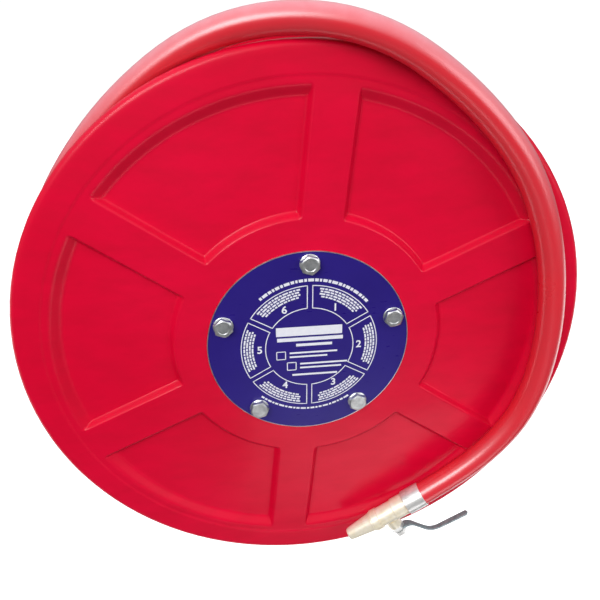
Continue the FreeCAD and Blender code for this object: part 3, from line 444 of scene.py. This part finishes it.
def frame_materials():
    """One finish for each material slot of the record."""
    zinc_light, zinc_dark = (0.86, 0.87, 0.87), (0.62, 0.63, 0.64)
    nickel_light, nickel_dark = (0.90, 0.89, 0.87), (0.66, 0.65, 0.63)
    return {
        "drum_red": red_enamel("drum_red_enamel", (0.66, 0.0, 0.024), (0.78, 0.002, 0.040)),
        "bracket_steel": red_enamel("bracket_red_paint", (0.50, 0.004, 0.02), (0.58, 0.01, 0.03)),
        "label_blue": blue_enamel(),
        "zinc_steel": metal("zinc_plate", zinc_light, zinc_dark, 0.34, 160.0, 0.15),
        "plated_ferrule": metal("nickel_plate", nickel_light, nickel_dark, 0.28, 90.0, 0.12,
                                shine=0.6),
        "lever_steel": metal("plated_strip", (0.24, 0.31, 0.33), (0.16, 0.21, 0.23), 0.4,
                             shine=0.2),
        "cast_brass": metal("turned_brass", (0.94, 0.87, 0.73), (0.87, 0.77, 0.57), 0.36,
                            120.0, 0.1, shine=0.28),
        "bush_bronze": metal("bush_bronze", (0.62, 0.42, 0.22), (0.45, 0.29, 0.14), 0.4),
        "hose_red": hose_rubber(),
        "seal_rubber": dark_rubber(),
        "seal_white": seat_plastic(),
    }


def dress_frame(materials):
    """Give every CAD node the finish of its slot."""
    for row in frame["record"]["subparts"]:
        slots = frame["nodes"][row["node"]].data.materials
        slots.clear()
        slots.append(materials[row["material_slot"]])


# ---- mesh helpers ------------------------------------------------------------------------

def add_mesh(name, vertices, faces, material, smooth_angle=40):
    """A mesh object at the origin with outward normals and smooth shading below an angle."""
    mesh = bpy.data.meshes.new(name)
    mesh.from_pydata([tuple(vertex) for vertex in vertices], [], faces)
    shape = bmesh.new()
    shape.from_mesh(mesh)
    bmesh.ops.remove_doubles(shape, verts=shape.verts, dist=1e-7)
    bmesh.ops.recalc_face_normals(shape, faces=shape.faces)
    shape.to_mesh(mesh)
    shape.free()
    mesh.polygons.foreach_set("use_smooth", [True] * len(mesh.polygons))
    mesh.set_sharp_from_angle(angle=math.radians(smooth_angle))
    mesh.materials.append(material)
    piece = bpy.data.objects.new(name, mesh)
    bpy.context.scene.collection.objects.link(piece)
    return piece


def lathe(rows, steps, place):
    """Vertices and faces of a closed ring; place(row, clock) gives each point."""
    count = len(rows)
    vertices = [place(row, 2 * math.pi * step / steps) for step in range(steps) for row in rows]
    faces = []
    for step in range(steps):
        here, there = step * count, (step + 1) % steps * count
        for number in range(count):
            after = (number + 1) % count
            faces.append((here + number, here + after, there + after, there + number))
    return vertices, faces


def ease(value):
    """A smooth step from 0 to 1."""
    value = min(max(value, 0.0), 1.0)
    return value * value * (3 - 2 * value)


# ---- drum discs --------------------------------------------------------------------------

SHEET = 0.0015
RIM_BEND, RIM_DEPTH = 0.006, 0.009
RECESS = {"inner": 0.130, "outer": 0.2475, "depth": 0.0072, "spoke": 0.0365, "corner": 0.6,
          "inner_wall": 0.0075, "side_wall": 0.006, "outer_wall": 0.014,
          "lean": math.radians(5.2), "step": math.radians(60)}
# The face outside the panels lies a little lower than the rim band, with a step between them.
BAND_SINK, SINK_START, SINK_RISE, SINK_EDGE, SINK_STEP = 0.0006, 0.15, 0.05, 0.2512, 0.0032
WAVE_HEIGHT = 0.00035
CENTRE_HOLE = 0.032
# Rings of the face: from, to and how many, closest where the panels' walls are.
FACE_RINGS = ((CENTRE_HOLE, 0.129, 8), (0.129, 0.139, 13), (0.139, 0.232, 14), (0.232, 0.256, 27),
              (0.256, RIM_RADIUS - RIM_BEND, 5))
# Grid lines beside a spoke, by distance from its middle, and how many more reach the next one.
SPOKE_LINES = (0.0, 0.008, 0.015, 0.0175, 0.0183, 0.0191, 0.0199, 0.0207, 0.0215, 0.0223, 0.0231,
               0.0239, 0.0247, 0.026, 0.029)
PANEL_LINES = 14


def pressed_wall(share):
    """A straight slope with a soft bend at its top and foot, 0 to 1."""
    share, bend = min(max(share, 0.0), 1.0), 0.32
    if share < bend:
        return share * share / (2 * bend * (1 - bend))
    if share > 1 - bend:
        return 1 - (1 - share) ** 2 / (2 * bend * (1 - bend))
    return (share - bend / 2) / (1 - bend)


def rounded_min(first, second, reach):
    """The lesser of two distances, with a round corner where both are small."""
    if first < reach and second < reach:
        return reach - math.hypot(reach - first, reach - second)
    return min(first, second)


def pressing(radius, clock):
    """How far the sheet is pressed in at a place on the disc."""
    step = RECESS["step"]
    off_spoke = (clock - RECESS["lean"] + step / 2) % step - step / 2
    from_spoke = (abs(radius * math.sin(off_spoke)) - RECESS["spoke"] / 2) / RECESS["side_wall"]
    from_inner = (radius - RECESS["inner"]) / RECESS["inner_wall"]
    from_outer = (RECESS["outer"] - radius) / RECESS["outer_wall"]
    inside = rounded_min(rounded_min(from_spoke, from_inner, RECESS["corner"]), from_outer,
                         RECESS["corner"])
    sunk = (BAND_SINK * ease((radius - SINK_START) / SINK_RISE)
            * (1 - ease((radius - SINK_EDGE) / SINK_STEP)))
    return sunk + (RECESS["depth"] - sunk) * pressed_wall(inside)


def sheet_waves(radius, clock):
    """The slight unevenness that pressing leaves in thin sheet."""
    swell = math.sin(2 * clock + 0.7) * math.sin(radius * 31 + 0.4)
    ripple = math.sin(5 * clock + radius * 60) * 0.35
    return WAVE_HEIGHT * (swell + ripple) * ease((RIM_RADIUS - RIM_BEND - radius) / 0.05)


def disc_rows():
    """The disc's section from the hole, along the face, round the rim and back inside."""
    bend_start, inner_bend = RIM_RADIUS - RIM_BEND, RIM_BEND - SHEET
    turns = [math.radians(15 * number) for number in range(1, 7)]
    radii = [low + (high - low) * number / count
             for low, high, count in FACE_RINGS for number in range(count)]
    radii.append(bend_start)
    face = [(radius, 0.0, True) for radius in radii]
    bend = [(bend_start + RIM_BEND * math.sin(turn), RIM_BEND * math.cos(turn) - RIM_BEND, False)
            for turn in turns]
    inside = [(bend_start + inner_bend * math.sin(turn), inner_bend * math.cos(turn) - RIM_BEND,
               False) for turn in reversed(turns)]
    lip = [(RIM_RADIUS, -RIM_DEPTH, False), (RIM_RADIUS - SHEET, -RIM_DEPTH, False)]
    back = [(radius, -SHEET, True) for radius in reversed(radii)]
    return face + bend + lip + inside + back


def disc_clock(radius, column):
    """The clock of a grid line that runs along the spokes' straight sides."""
    step, lines = RECESS["step"], len(SPOKE_LINES)
    spoke, line = divmod(column, 2 * lines - 1 + PANEL_LINES)
    turns = [math.asin(across / max(radius, 0.12)) for across in SPOKE_LINES]
    if line < lines:
        off_spoke = turns[line]
    elif line < lines + PANEL_LINES:
        share = (line - lines + 1) / (PANEL_LINES + 1)
        off_spoke = turns[-1] + (step - 2 * turns[-1]) * share
    else:
        off_spoke = step - turns[2 * lines - 1 + PANEL_LINES - line]
    return RECESS["lean"] + spoke * step + off_spoke


def pressed_disc(name, material, mirrored):
    """One drum disc; the rear one is the same pressing turned round."""
    rows, columns = disc_rows(), 6 * (2 * len(SPOKE_LINES) - 1 + PANEL_LINES)
    vertices, faces = [], []
    for radius, forward, follows in rows:
        for column in range(columns):
            clock = disc_clock(radius, column)
            pressed = sheet_waves(radius, clock) - pressing(radius, clock) if follows else 0.0
            place = drum_polar(radius, clock, forward + pressed)
            if mirrored:
                place = Vector((2 * AXIS_X - place.x, REAR_Y + forward + pressed, place.z))
            vertices.append(place)
    for row in range(len(rows)):
        this, after = row * columns, (row + 1) % len(rows) * columns
        for column in range(columns):
            beside = (column + 1) % columns
            faces.append((this + column, this + beside, after + beside, after + column))
    return add_mesh(name, vertices, faces, material, 35)


# ---- cover print -------------------------------------------------------------------------

PRINT_THICK = 0.00012
PRINT_LINE = 0.0009
PRINT_RIGHT, PRINT_UP = 0.0005, -0.0026
BOX_COUNT, BOX_INNER, BOX_OUTER, BOX_GAP = 6, 0.0434, 0.0682, 0.0026
DIGIT_RADIUS, DIGIT_HEIGHT = 0.0496, 0.0110
DASH_WIDTHS, SHORTEST_DASH, DASH_GAP = (0.0042, 0.0026, 0.0056, 0.0034, 0.0022), 0.0008, 0.0009


def flat_plate(outline):
    """Vertices and faces of a thin printed patch from its outline in drum coordinates."""
    count = len(outline)
    face_y = FRONT_Y - LABEL_Y
    vertices = [drum_point(x + PRINT_RIGHT, z + PRINT_UP, face_y + lift)
                for lift in (0.00002, PRINT_THICK) for x, z in outline]
    faces = [tuple(range(count)), tuple(range(2 * count - 1, count - 1, -1))]
    for number in range(count):
        after = (number + 1) % count
        faces.append((number, after, count + after, count + number))
    return vertices, faces


def arc_patch(inner, outer, start, end):
    """The outline of a piece of a ring."""
    steps = max(2, round(abs(end - start) / math.radians(3)))
    clocks = [start + (end - start) * number / steps for number in range(steps + 1)]
    outline = [(outer * math.sin(clock), outer * math.cos(clock)) for clock in clocks]
    outline += [(inner * math.sin(clock), inner * math.cos(clock)) for clock in reversed(clocks)]
    return outline


def bar_patch(x, z, width, height, turn=0.0):
    """The outline of a bar about its middle, turned clockwise."""
    corners = ((-width, -height), (width, -height), (width, height), (-width, height))
    c, s = math.cos(turn), math.sin(turn)
    return [(x + (p * c + q * s) / 2, z + (-p * s + q * c) / 2) for p, q in corners]


def line_between(start, end, width=PRINT_LINE):
    """The outline of a printed line."""
    run, rise = end[0] - start[0], end[1] - start[1]
    length = math.hypot(run, rise)
    return bar_patch((start[0] + end[0]) / 2, (start[1] + end[1]) / 2, length, width,
                     -math.atan2(rise, run))


def box_ring_patches():
    """Six outlined boxes round the cover with rows of plain dashes in each."""
    patches = []
    inner, outer, gap = BOX_INNER, BOX_OUTER, BOX_GAP
    for number in range(BOX_COUNT):
        low, high = math.radians(60 * number), math.radians(60 * number + 60)
        for radius in (inner, outer - PRINT_LINE):
            shift = gap / radius
            patches.append(arc_patch(radius, radius + PRINT_LINE, low + shift, high - shift))
        for side, edge in ((1, low), (-1, high)):
            ends = [(radius * math.sin(edge + side * gap / radius),
                     radius * math.cos(edge + side * gap / radius)) for radius in (inner, outer)]
            patches.append(line_between(*ends))
        middle = math.radians(60 * number + 30)
        for row, reach in enumerate((21.5, 20.5, 21, 19)):
            patches += dashes(outer - 0.0034 - row * 0.0027, 0.0017,
                              middle - math.radians(reach), middle + math.radians(reach), row)
    return patches


def dashes(radius, height, start, end, first=0, gap=DASH_GAP):
    """A row of short plain dashes of uneven length along an arc."""
    patches, number, clock = [], first, start
    while clock < end:
        width = DASH_WIDTHS[number % len(DASH_WIDTHS)] / radius
        stop = min(clock + width, end)
        if (stop - clock) * radius > SHORTEST_DASH:
            patches.append(arc_patch(radius - height / 2, radius + height / 2, clock, stop))
        clock = stop + gap / radius
        number += 1
    return patches


def centre_patches():
    """A plain heading bar, rule lines and two tick squares."""
    patches = [bar_patch(-0.0005, 0.0190, 0.0655, 0.0098),
               bar_patch(0.0005, 0.0100, 0.0655, 0.0040),
               bar_patch(0.0045, 0.0035, 0.036, 0.0030)]
    rows = ((-0.0285, -0.0078, 0.0050), (-0.0180, -0.0208, 0.0030))
    for x, z, trim in rows:
        corners = bar_patch(x, z, 0.0088, 0.0088)
        patches += [line_between(start, end) for start, end in
                    zip(corners, corners[1:] + corners[:1])]
        patches.append(bar_patch(x + 0.0325, z + 0.0024, 0.048, 0.0019))
        patches.append(bar_patch(x + 0.0325 - trim, z - 0.0022, 0.048 - 2 * trim, 0.0019))
    patches.append(bar_patch(0.0055, -0.0312, 0.046, 0.0021))
    return patches


def rim_patches():
    """Dashed arcs above and below the ring of boxes."""
    return (dashes(0.0735, 0.0030, math.radians(-41), math.radians(50), 1, 0.0011)
            + dashes(0.0735, 0.0020, math.radians(146), math.radians(222), 2, 0.0011))


def digit_mesh(text, x, z, height):
    """A plain number as thin raised print."""
    curve = bpy.data.curves.new("digit", "FONT")
    curve.body = text
    curve.size = height
    curve.align_x = "CENTER"
    curve.align_y = "CENTER"
    curve.extrude = PRINT_THICK / 2
    curve.offset = height * 0.022
    holder = bpy.data.objects.new("digit", curve)
    bpy.context.scene.collection.objects.link(holder)
    depsgraph = bpy.context.evaluated_depsgraph_get()
    mesh = bpy.data.meshes.new_from_object(holder.evaluated_get(depsgraph))
    bpy.data.objects.remove(holder)
    upright = Matrix.Rotation(math.radians(90), 4, "X")
    centre = drum_point(x + PRINT_RIGHT, z + PRINT_UP, FRONT_Y - LABEL_Y + PRINT_THICK / 2)
    mesh.transform(Matrix.Translation(centre) @ upright)
    return mesh


def make_label_print(material):
    """All the cover's white print as one piece."""
    shape = bmesh.new()
    for outline in box_ring_patches() + centre_patches() + rim_patches():
        vertices, faces = flat_plate(outline)
        made = [shape.verts.new(vertex) for vertex in vertices]
        for face in faces:
            shape.faces.new([made[index] for index in face])
    for number in range(BOX_COUNT):
        clock = math.radians(60 * number + 30)
        shape.from_mesh(digit_mesh(str(number + 1), DIGIT_RADIUS * math.sin(clock),
                                   DIGIT_RADIUS * math.cos(clock), DIGIT_HEIGHT))
    bmesh.ops.recalc_face_normals(shape, faces=shape.faces)
    mesh = bpy.data.meshes.new("label_print")
    shape.to_mesh(mesh)
    shape.free()
    mesh.materials.append(material)
    piece = bpy.data.objects.new("label_print", mesh)
    bpy.context.scene.collection.objects.link(piece)
    return piece


def make_cover_edge(material):
    """The bare cut edge round the cover plate."""
    radius = (LABEL_HIGH.x - LABEL_LOW.x) / 2
    rows = ((radius - 0.0006, 0.00002), (radius - 0.0006, 0.00025), (radius + 0.0001, 0.00018),
            (radius + 0.0003, -0.0003), (radius + 0.0003, -0.0009), (radius - 0.0003, -0.0009))
    front = FRONT_Y - LABEL_Y
    return add_mesh("cover_edge", *lathe(rows, 240, lambda row, clock: drum_polar(
        row[0], clock, front + row[1])), material)


# ---- valve lever and welds ---------------------------------------------------------------

NOZZLE_RIGHT, NOZZLE_BELOW, NOZZLE_FORWARD = 0.129, 0.196, 0.017
NOZZLE_FALL = math.radians(32.4)
# Middle of the lever strip: out from the nozzle's axis and along it from the ferrule.
LEVER_LINE = ((0.02855, 0.0551), (0.02855, 0.0331), (0.0585, 0.0172), (0.0612, -0.0270),
              (0.0604, -0.0301))
LEVER_CUTS = (0.008, 0.011, 0.002)
LEVER_HALF, LEVER_NARROWING, LEVER_FLARE = 0.00475, 0.0019, 0.0005
LEVER_THICK, LEVER_THINNING, LEVER_EDGE, LEVER_TIP = 0.00125, 0.0003, 0.0004, 0.0009
POINT_STEP = 0.0011
BEAD_SWELL, BEAD_PITCH, BEAD_END = 0.16, 1.05, 0.35


def nozzle_point(out, along, forward):
    """A point given out from the nozzle's axis, back along it and towards the viewer."""
    fall_x, fall_z = math.cos(NOZZLE_FALL), math.sin(NOZZLE_FALL)
    return drum_point(NOZZLE_RIGHT - along * fall_x + out * fall_z,
                      -NOZZLE_BELOW - along * fall_z - out * fall_x, NOZZLE_FORWARD + forward)


def soft_line(corners, cuts, step=POINT_STEP):
    """Points along a line of corners, each rounded by a curve that starts its cut away."""
    corners = [Vector(corner) for corner in corners]
    points = [corners[0]]
    for before, corner, after, cut in zip(corners, corners[1:], corners[2:], cuts):
        start = corner + (before - corner).normalized() * cut
        end = corner + (after - corner).normalized() * cut
        points += [start * (1 - t) ** 2 + corner * (2 * t * (1 - t)) + end * t * t
                   for t in (number / 8 for number in range(9))]
    points.append(corners[-1])
    line = [points[0]]
    for point in points[1:]:
        gap = point - line[-1]
        count = max(1, round(gap.length / step))
        line += [line[-1] + gap * number / count for number in range(1, count + 1)]
    return line


def make_lever(material):
    """The valve's cranked strip lever: broad and round at the stem, slim along the grip."""
    line = soft_line(LEVER_LINE, LEVER_CUTS)
    travelled = [0.0]
    for before, point in zip(line, line[1:]):
        travelled.append(travelled[-1] + (point - before).length)
    whole = travelled[-1]
    vertices, faces, section = [], [], 8
    for number, point in enumerate(line):
        gone, left = travelled[number], whole - travelled[number]
        slim = ease((gone - 0.014) / 0.018)
        half = LEVER_HALF - LEVER_NARROWING * slim + LEVER_FLARE * ease((gone - 0.05) / 0.03)
        for near in (gone, left):
            if near < half:
                half = math.sqrt(max(half * half - (half - near) ** 2, LEVER_TIP ** 2))
        thick, edge = LEVER_THICK - LEVER_THINNING * slim, LEVER_EDGE
        before, after = line[max(number - 1, 0)], line[min(number + 1, len(line) - 1)]
        run = (after - before).normalized()
        for across, proud in ((half, thick - edge), (half - edge, thick), (edge - half, thick),
                              (-half, thick - edge), (-half, edge - thick), (edge - half, -thick),
                              (half - edge, -thick), (half, edge - thick)):
            out, along = point.x - run.y * proud, point.y + run.x * proud
            vertices.append(nozzle_point(out, along, across))
    for number in range(len(line) - 1):
        this, after = number * section, (number + 1) * section
        for side in range(section):
            beside = (side + 1) % section
            faces.append((this + side, this + beside, after + beside, after + side))
    faces.append(tuple(range(section)))
    faces.append(tuple(range(len(vertices) - section, len(vertices))))
    return add_mesh("lever_strip", vertices, faces, material)


def weld_bead(line, radius, closed=False):
    """A rippled bead laid along close points, as vertices and faces."""
    vertices, faces, sides = [], [], 8
    count = len(line)
    for number, point in enumerate(line):
        before = line[number - 1] if closed or number else point
        after = line[(number + 1) % count] if closed or number < count - 1 else point
        run = (after - before).normalized()
        side = run.orthogonal() if abs(run.y) > 0.9 else run.cross((0, 1, 0))
        side.normalize()
        up = run.cross(side)
        swell = radius * (1 + BEAD_SWELL * math.cos(number * BEAD_PITCH))
        if not closed:
            nearness = ease(min(number, count - 1 - number) / 4)
            swell *= BEAD_END + (1 - BEAD_END) * nearness
        for turn in range(sides):
            angle = 2 * math.pi * turn / sides
            vertices.append(point + (side * math.cos(angle) + up * math.sin(angle)) * swell)
    for number in range(count if closed else count - 1):
        this, after = number * sides, (number + 1) % count * sides
        for turn in range(sides):
            beside = (turn + 1) % sides
            faces.append((this + turn, this + beside, after + beside, after + turn))
    if not closed:
        faces += [tuple(range(sides)), tuple(range(len(vertices) - sides, len(vertices)))]
    return vertices, faces


def straight(start, end, step=POINT_STEP):
    """Close points from start to end."""
    start, end = Vector(start), Vector(end)
    count = round((end - start).length / step)
    return [start.lerp(end, number / count) for number in range(count + 1)]


def join_beads(name, beads, material):
    """Several beads as one piece."""
    vertices, faces = [], []
    for bead_vertices, bead_faces in beads:
        base = len(vertices)
        vertices += bead_vertices
        faces += [tuple(base + corner for corner in face) for face in bead_faces]
    return add_mesh(name, vertices, faces, material, 60)


def make_bracket_welds(material):
    """Beads above and below each swing lug, where it meets the wall plate."""
    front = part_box("wall_plate")[0].y
    beads = []
    for lug in ("upper_lug", "lower_lug"):
        low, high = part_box(lug)
        for height in (low.z, high.z):
            beads.append(weld_bead(straight((low.x + 0.001, front, height),
                                            (high.x - 0.001, front, height)), 0.0026))
    return join_beads("bracket_welds", beads, material)


def make_arm_welds(material):
    """Beads round the arm's branch and along both stiffening plates."""
    low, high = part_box("pivot_pipe")
    radius, middle = (high.x - low.x) / 2, (low.y + high.y) / 2
    ring = []
    for number in range(96):
        turn = 2 * math.pi * number / 96
        across, up = radius * math.cos(turn), radius * math.sin(turn)
        ring.append(Vector((abs(up), middle + across, up)))
    beads = [weld_bead(ring, 0.0024, closed=True)]
    for plate in ("upper_gusset", "lower_gusset"):
        low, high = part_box(plate)
        upper = plate == "upper_gusset"
        inner, outer = (low.z, high.z) if upper else (high.z, low.z)
        for face in (low.y, high.y):
            beads.append(weld_bead(straight((low.x, face, inner), (low.x, face, outer)), 0.0020))
            beads.append(weld_bead(straight((low.x, face, inner), (high.x, face, inner)), 0.0020))
    return join_beads("arm_welds", beads, material)


# ---- bolts -------------------------------------------------------------------------------

def hex_bolt(height, shank, material):
    """A forged bolt pointing along +Z: chamfered head, plain washer and shank below zero."""
    shape = bmesh.new()
    steps, face = 72, BOLT_FLATS * 0.46

    def ring(radius_at, level_at):
        return [shape.verts.new((radius_at(clock) * math.cos(clock),
                                 radius_at(clock) * math.sin(clock), level_at(clock)))
                for clock in (2 * math.pi * step / steps for step in range(steps))]

    def hexagon(clock):
        return BOLT_FLATS / 2 / math.cos((clock + math.pi / 6) % (math.pi / 3) - math.pi / 6)

    def level(clock):
        return WASHER_THICK + height - (hexagon(clock) - face) * 0.5

    rings = [ring(lambda clock: BOLT_RADIUS - 0.0006, lambda clock: -shank),
             ring(lambda clock: BOLT_RADIUS, lambda clock: 0.0006 - shank),
             ring(lambda clock: BOLT_RADIUS, lambda clock: 0.0),
             ring(lambda clock: WASHER_RADIUS - 0.0002, lambda clock: 0.0),
             ring(lambda clock: WASHER_RADIUS, lambda clock: WASHER_THICK * 0.3),
             ring(lambda clock: WASHER_RADIUS, lambda clock: WASHER_THICK * 0.75),
             ring(lambda clock: WASHER_RADIUS - 0.0004, lambda clock: WASHER_THICK),
             ring(hexagon, lambda clock: WASHER_THICK + 0.00002), ring(hexagon, level),
             ring(lambda clock: face, lambda clock: WASHER_THICK + height),
             ring(lambda clock: face * 0.72, lambda clock: WASHER_THICK + height),
             ring(lambda clock: face * 0.66, lambda clock: WASHER_THICK + height - 0.00025)]
    for low, high in zip(rings, rings[1:]):
        for step in range(steps):
            after = (step + 1) % steps
            shape.faces.new((low[step], low[after], high[after], high[step]))
    shape.faces.new(rings[-1])
    shape.faces.new(rings[0][::-1])
    bmesh.ops.recalc_face_normals(shape, faces=shape.faces)
    mesh = bpy.data.meshes.new("bolt")
    shape.to_mesh(mesh)
    shape.free()
    mesh.polygons.foreach_set("use_smooth", [True] * len(mesh.polygons))
    mesh.set_sharp_from_angle(angle=math.radians(24))
    mesh.materials.append(material)
    bolt = bpy.data.objects.new("bolt", mesh)
    bpy.context.scene.collection.objects.link(bolt)
    return bolt


def bolt_ring_tree():
    """A node group that sets bolts round a circle, each at its own turn."""
    tree = bpy.data.node_groups.new("bolt_ring", "GeometryNodeTree")
    tree.is_modifier = True
    for name, kind in (("Bolt", "NodeSocketObject"), ("Count", "NodeSocketInt"),
                       ("Circle Radius", "NodeSocketFloat"), ("Finish", "NodeSocketMaterial")):
        tree.interface.new_socket(name, in_out="INPUT", socket_type=kind)
    tree.interface.new_socket("Geometry", in_out="OUTPUT", socket_type="NodeSocketGeometry")
    given = tree.nodes.new("NodeGroupInput")
    circle = tree.nodes.new("GeometryNodeMeshCircle")
    circle.fill_type = "NONE"
    bolt = tree.nodes.new("GeometryNodeObjectInfo")
    turn = tree.nodes.new("FunctionNodeRandomValue")
    turn.data_type = "FLOAT_VECTOR"
    turn.inputs["Min"].default_value = (0, 0, -0.5)
    turn.inputs["Max"].default_value = (0, 0, 0.5)
    turn.inputs["Seed"].default_value = 4
    placed = tree.nodes.new("GeometryNodeInstanceOnPoints")
    real = tree.nodes.new("GeometryNodeRealizeInstances")
    finish = tree.nodes.new("GeometryNodeSetMaterial")
    result = tree.nodes.new("NodeGroupOutput")
    for source, target in (
            (given.outputs["Count"], circle.inputs["Vertices"]),
            (given.outputs["Circle Radius"], circle.inputs["Radius"]),
            (given.outputs["Bolt"], bolt.inputs["Object"]),
            (circle.outputs["Mesh"], placed.inputs["Points"]),
            (bolt.outputs["Geometry"], placed.inputs["Instance"]),
            (turn.outputs["Value"], placed.inputs["Rotation"]),
            (placed.outputs["Instances"], real.inputs["Geometry"]),
            (real.outputs["Geometry"], finish.inputs["Geometry"]),
            (given.outputs["Finish"], finish.inputs["Material"]),
            (finish.outputs["Geometry"], result.inputs["Geometry"])):
        tree.links.new(source, target)
    return tree


def bolt_ring(name, tree, bolt, place, material):
    """One ring of five bolts as a plain mesh, laid on the drum by a matrix."""
    mesh = bpy.data.meshes.new(name + "_start")
    carrier = bpy.data.objects.new(name + "_start", mesh)
    bpy.context.scene.collection.objects.link(carrier)
    modifier = carrier.modifiers.new("bolts", "NODES")
    modifier.node_group = tree
    sizes = {"Bolt": bolt, "Count": BOLT_COUNT, "Circle Radius": BOLT_CIRCLE, "Finish": material}
    for socket in tree.interface.items_tree:
        if socket.in_out == "INPUT":
            modifier[socket.identifier] = sizes[socket.name]
    bpy.context.view_layer.update()
    depsgraph = bpy.context.evaluated_depsgraph_get()
    made = bpy.data.meshes.new_from_object(carrier.evaluated_get(depsgraph))
    carrier.modifiers.remove(modifier)
    bpy.data.objects.remove(carrier)
    made.transform(place)
    made.name = name
    ring = bpy.data.objects.new(name, made)
    bpy.context.scene.collection.objects.link(ring)
    return ring


def make_bolts(material):
    """The cover's five bolts in front and the five at the back of the drum."""
    tree = bolt_ring_tree()
    spin = Matrix.Rotation(math.radians(90), 4, "Z")
    rings = []
    for name, seat_y, top_y, end_y in (
            ("cover_bolts", LABEL_Y, BOLTS_LOW.y, BOLTS_HIGH.y),
            ("back_bolts", REAR_Y, BACK_BOLTS_HIGH.y, BACK_BOLTS_LOW.y)):
        bolt = hex_bolt(abs(top_y - seat_y) - WASHER_THICK, abs(end_y - seat_y), material)
        facing = 90 if top_y < seat_y else -90
        place = (Matrix.Translation((AXIS_X, seat_y, AXIS_Z))
                 @ Matrix.Rotation(math.radians(facing), 4, "X")
                 @ (spin if facing > 0 else spin.inverted()))
        rings.append(bolt_ring(name, tree, bolt, place, material))
        bpy.data.objects.remove(bolt)
    return rings


# ---- assembly ----------------------------------------------------------------------------

def ride_all(body, *pieces):
    """Let several pieces move with one body."""
    for piece in pieces:
        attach(piece, body)


def main():
    """Everything from the camera to the last bolt; the new pieces ride with their bodies and the CAD
    nodes they replace are hidden.
    """
    make_camera()
    make_stage()
    materials = frame_materials()
    dress_frame(materials)

    lever = make_lever(materials["lever_steel"])
    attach(lever, "valve_drive")
    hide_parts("lever")
    bracket_welds = make_bracket_welds(materials["bracket_steel"])
    arm_welds = make_arm_welds(materials["bracket_steel"])
    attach(bracket_welds, "wall_bracket")
    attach(arm_welds, "swing_arm")

    hose = make_hose()
    hose.data.materials.append(materials["hose_red"])
    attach(hose, "drum")
    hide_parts("hose_winding", "hose_tail")

    front = pressed_disc("front_disc_pressing", materials["drum_red"], mirrored=False)
    rear = pressed_disc("rear_disc_pressing", materials["drum_red"], mirrored=True)
    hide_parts("front_disc")
    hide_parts("rear_disc")

    cover_bolts, back_bolts = make_bolts(materials["zinc_steel"])
    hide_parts("front_bolts")
    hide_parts("rear_bolts")
    ride_all("drum", front, rear, make_label_print(white_print()),
             make_cover_edge(materials["zinc_steel"]), cover_bolts, back_bolts)


main()
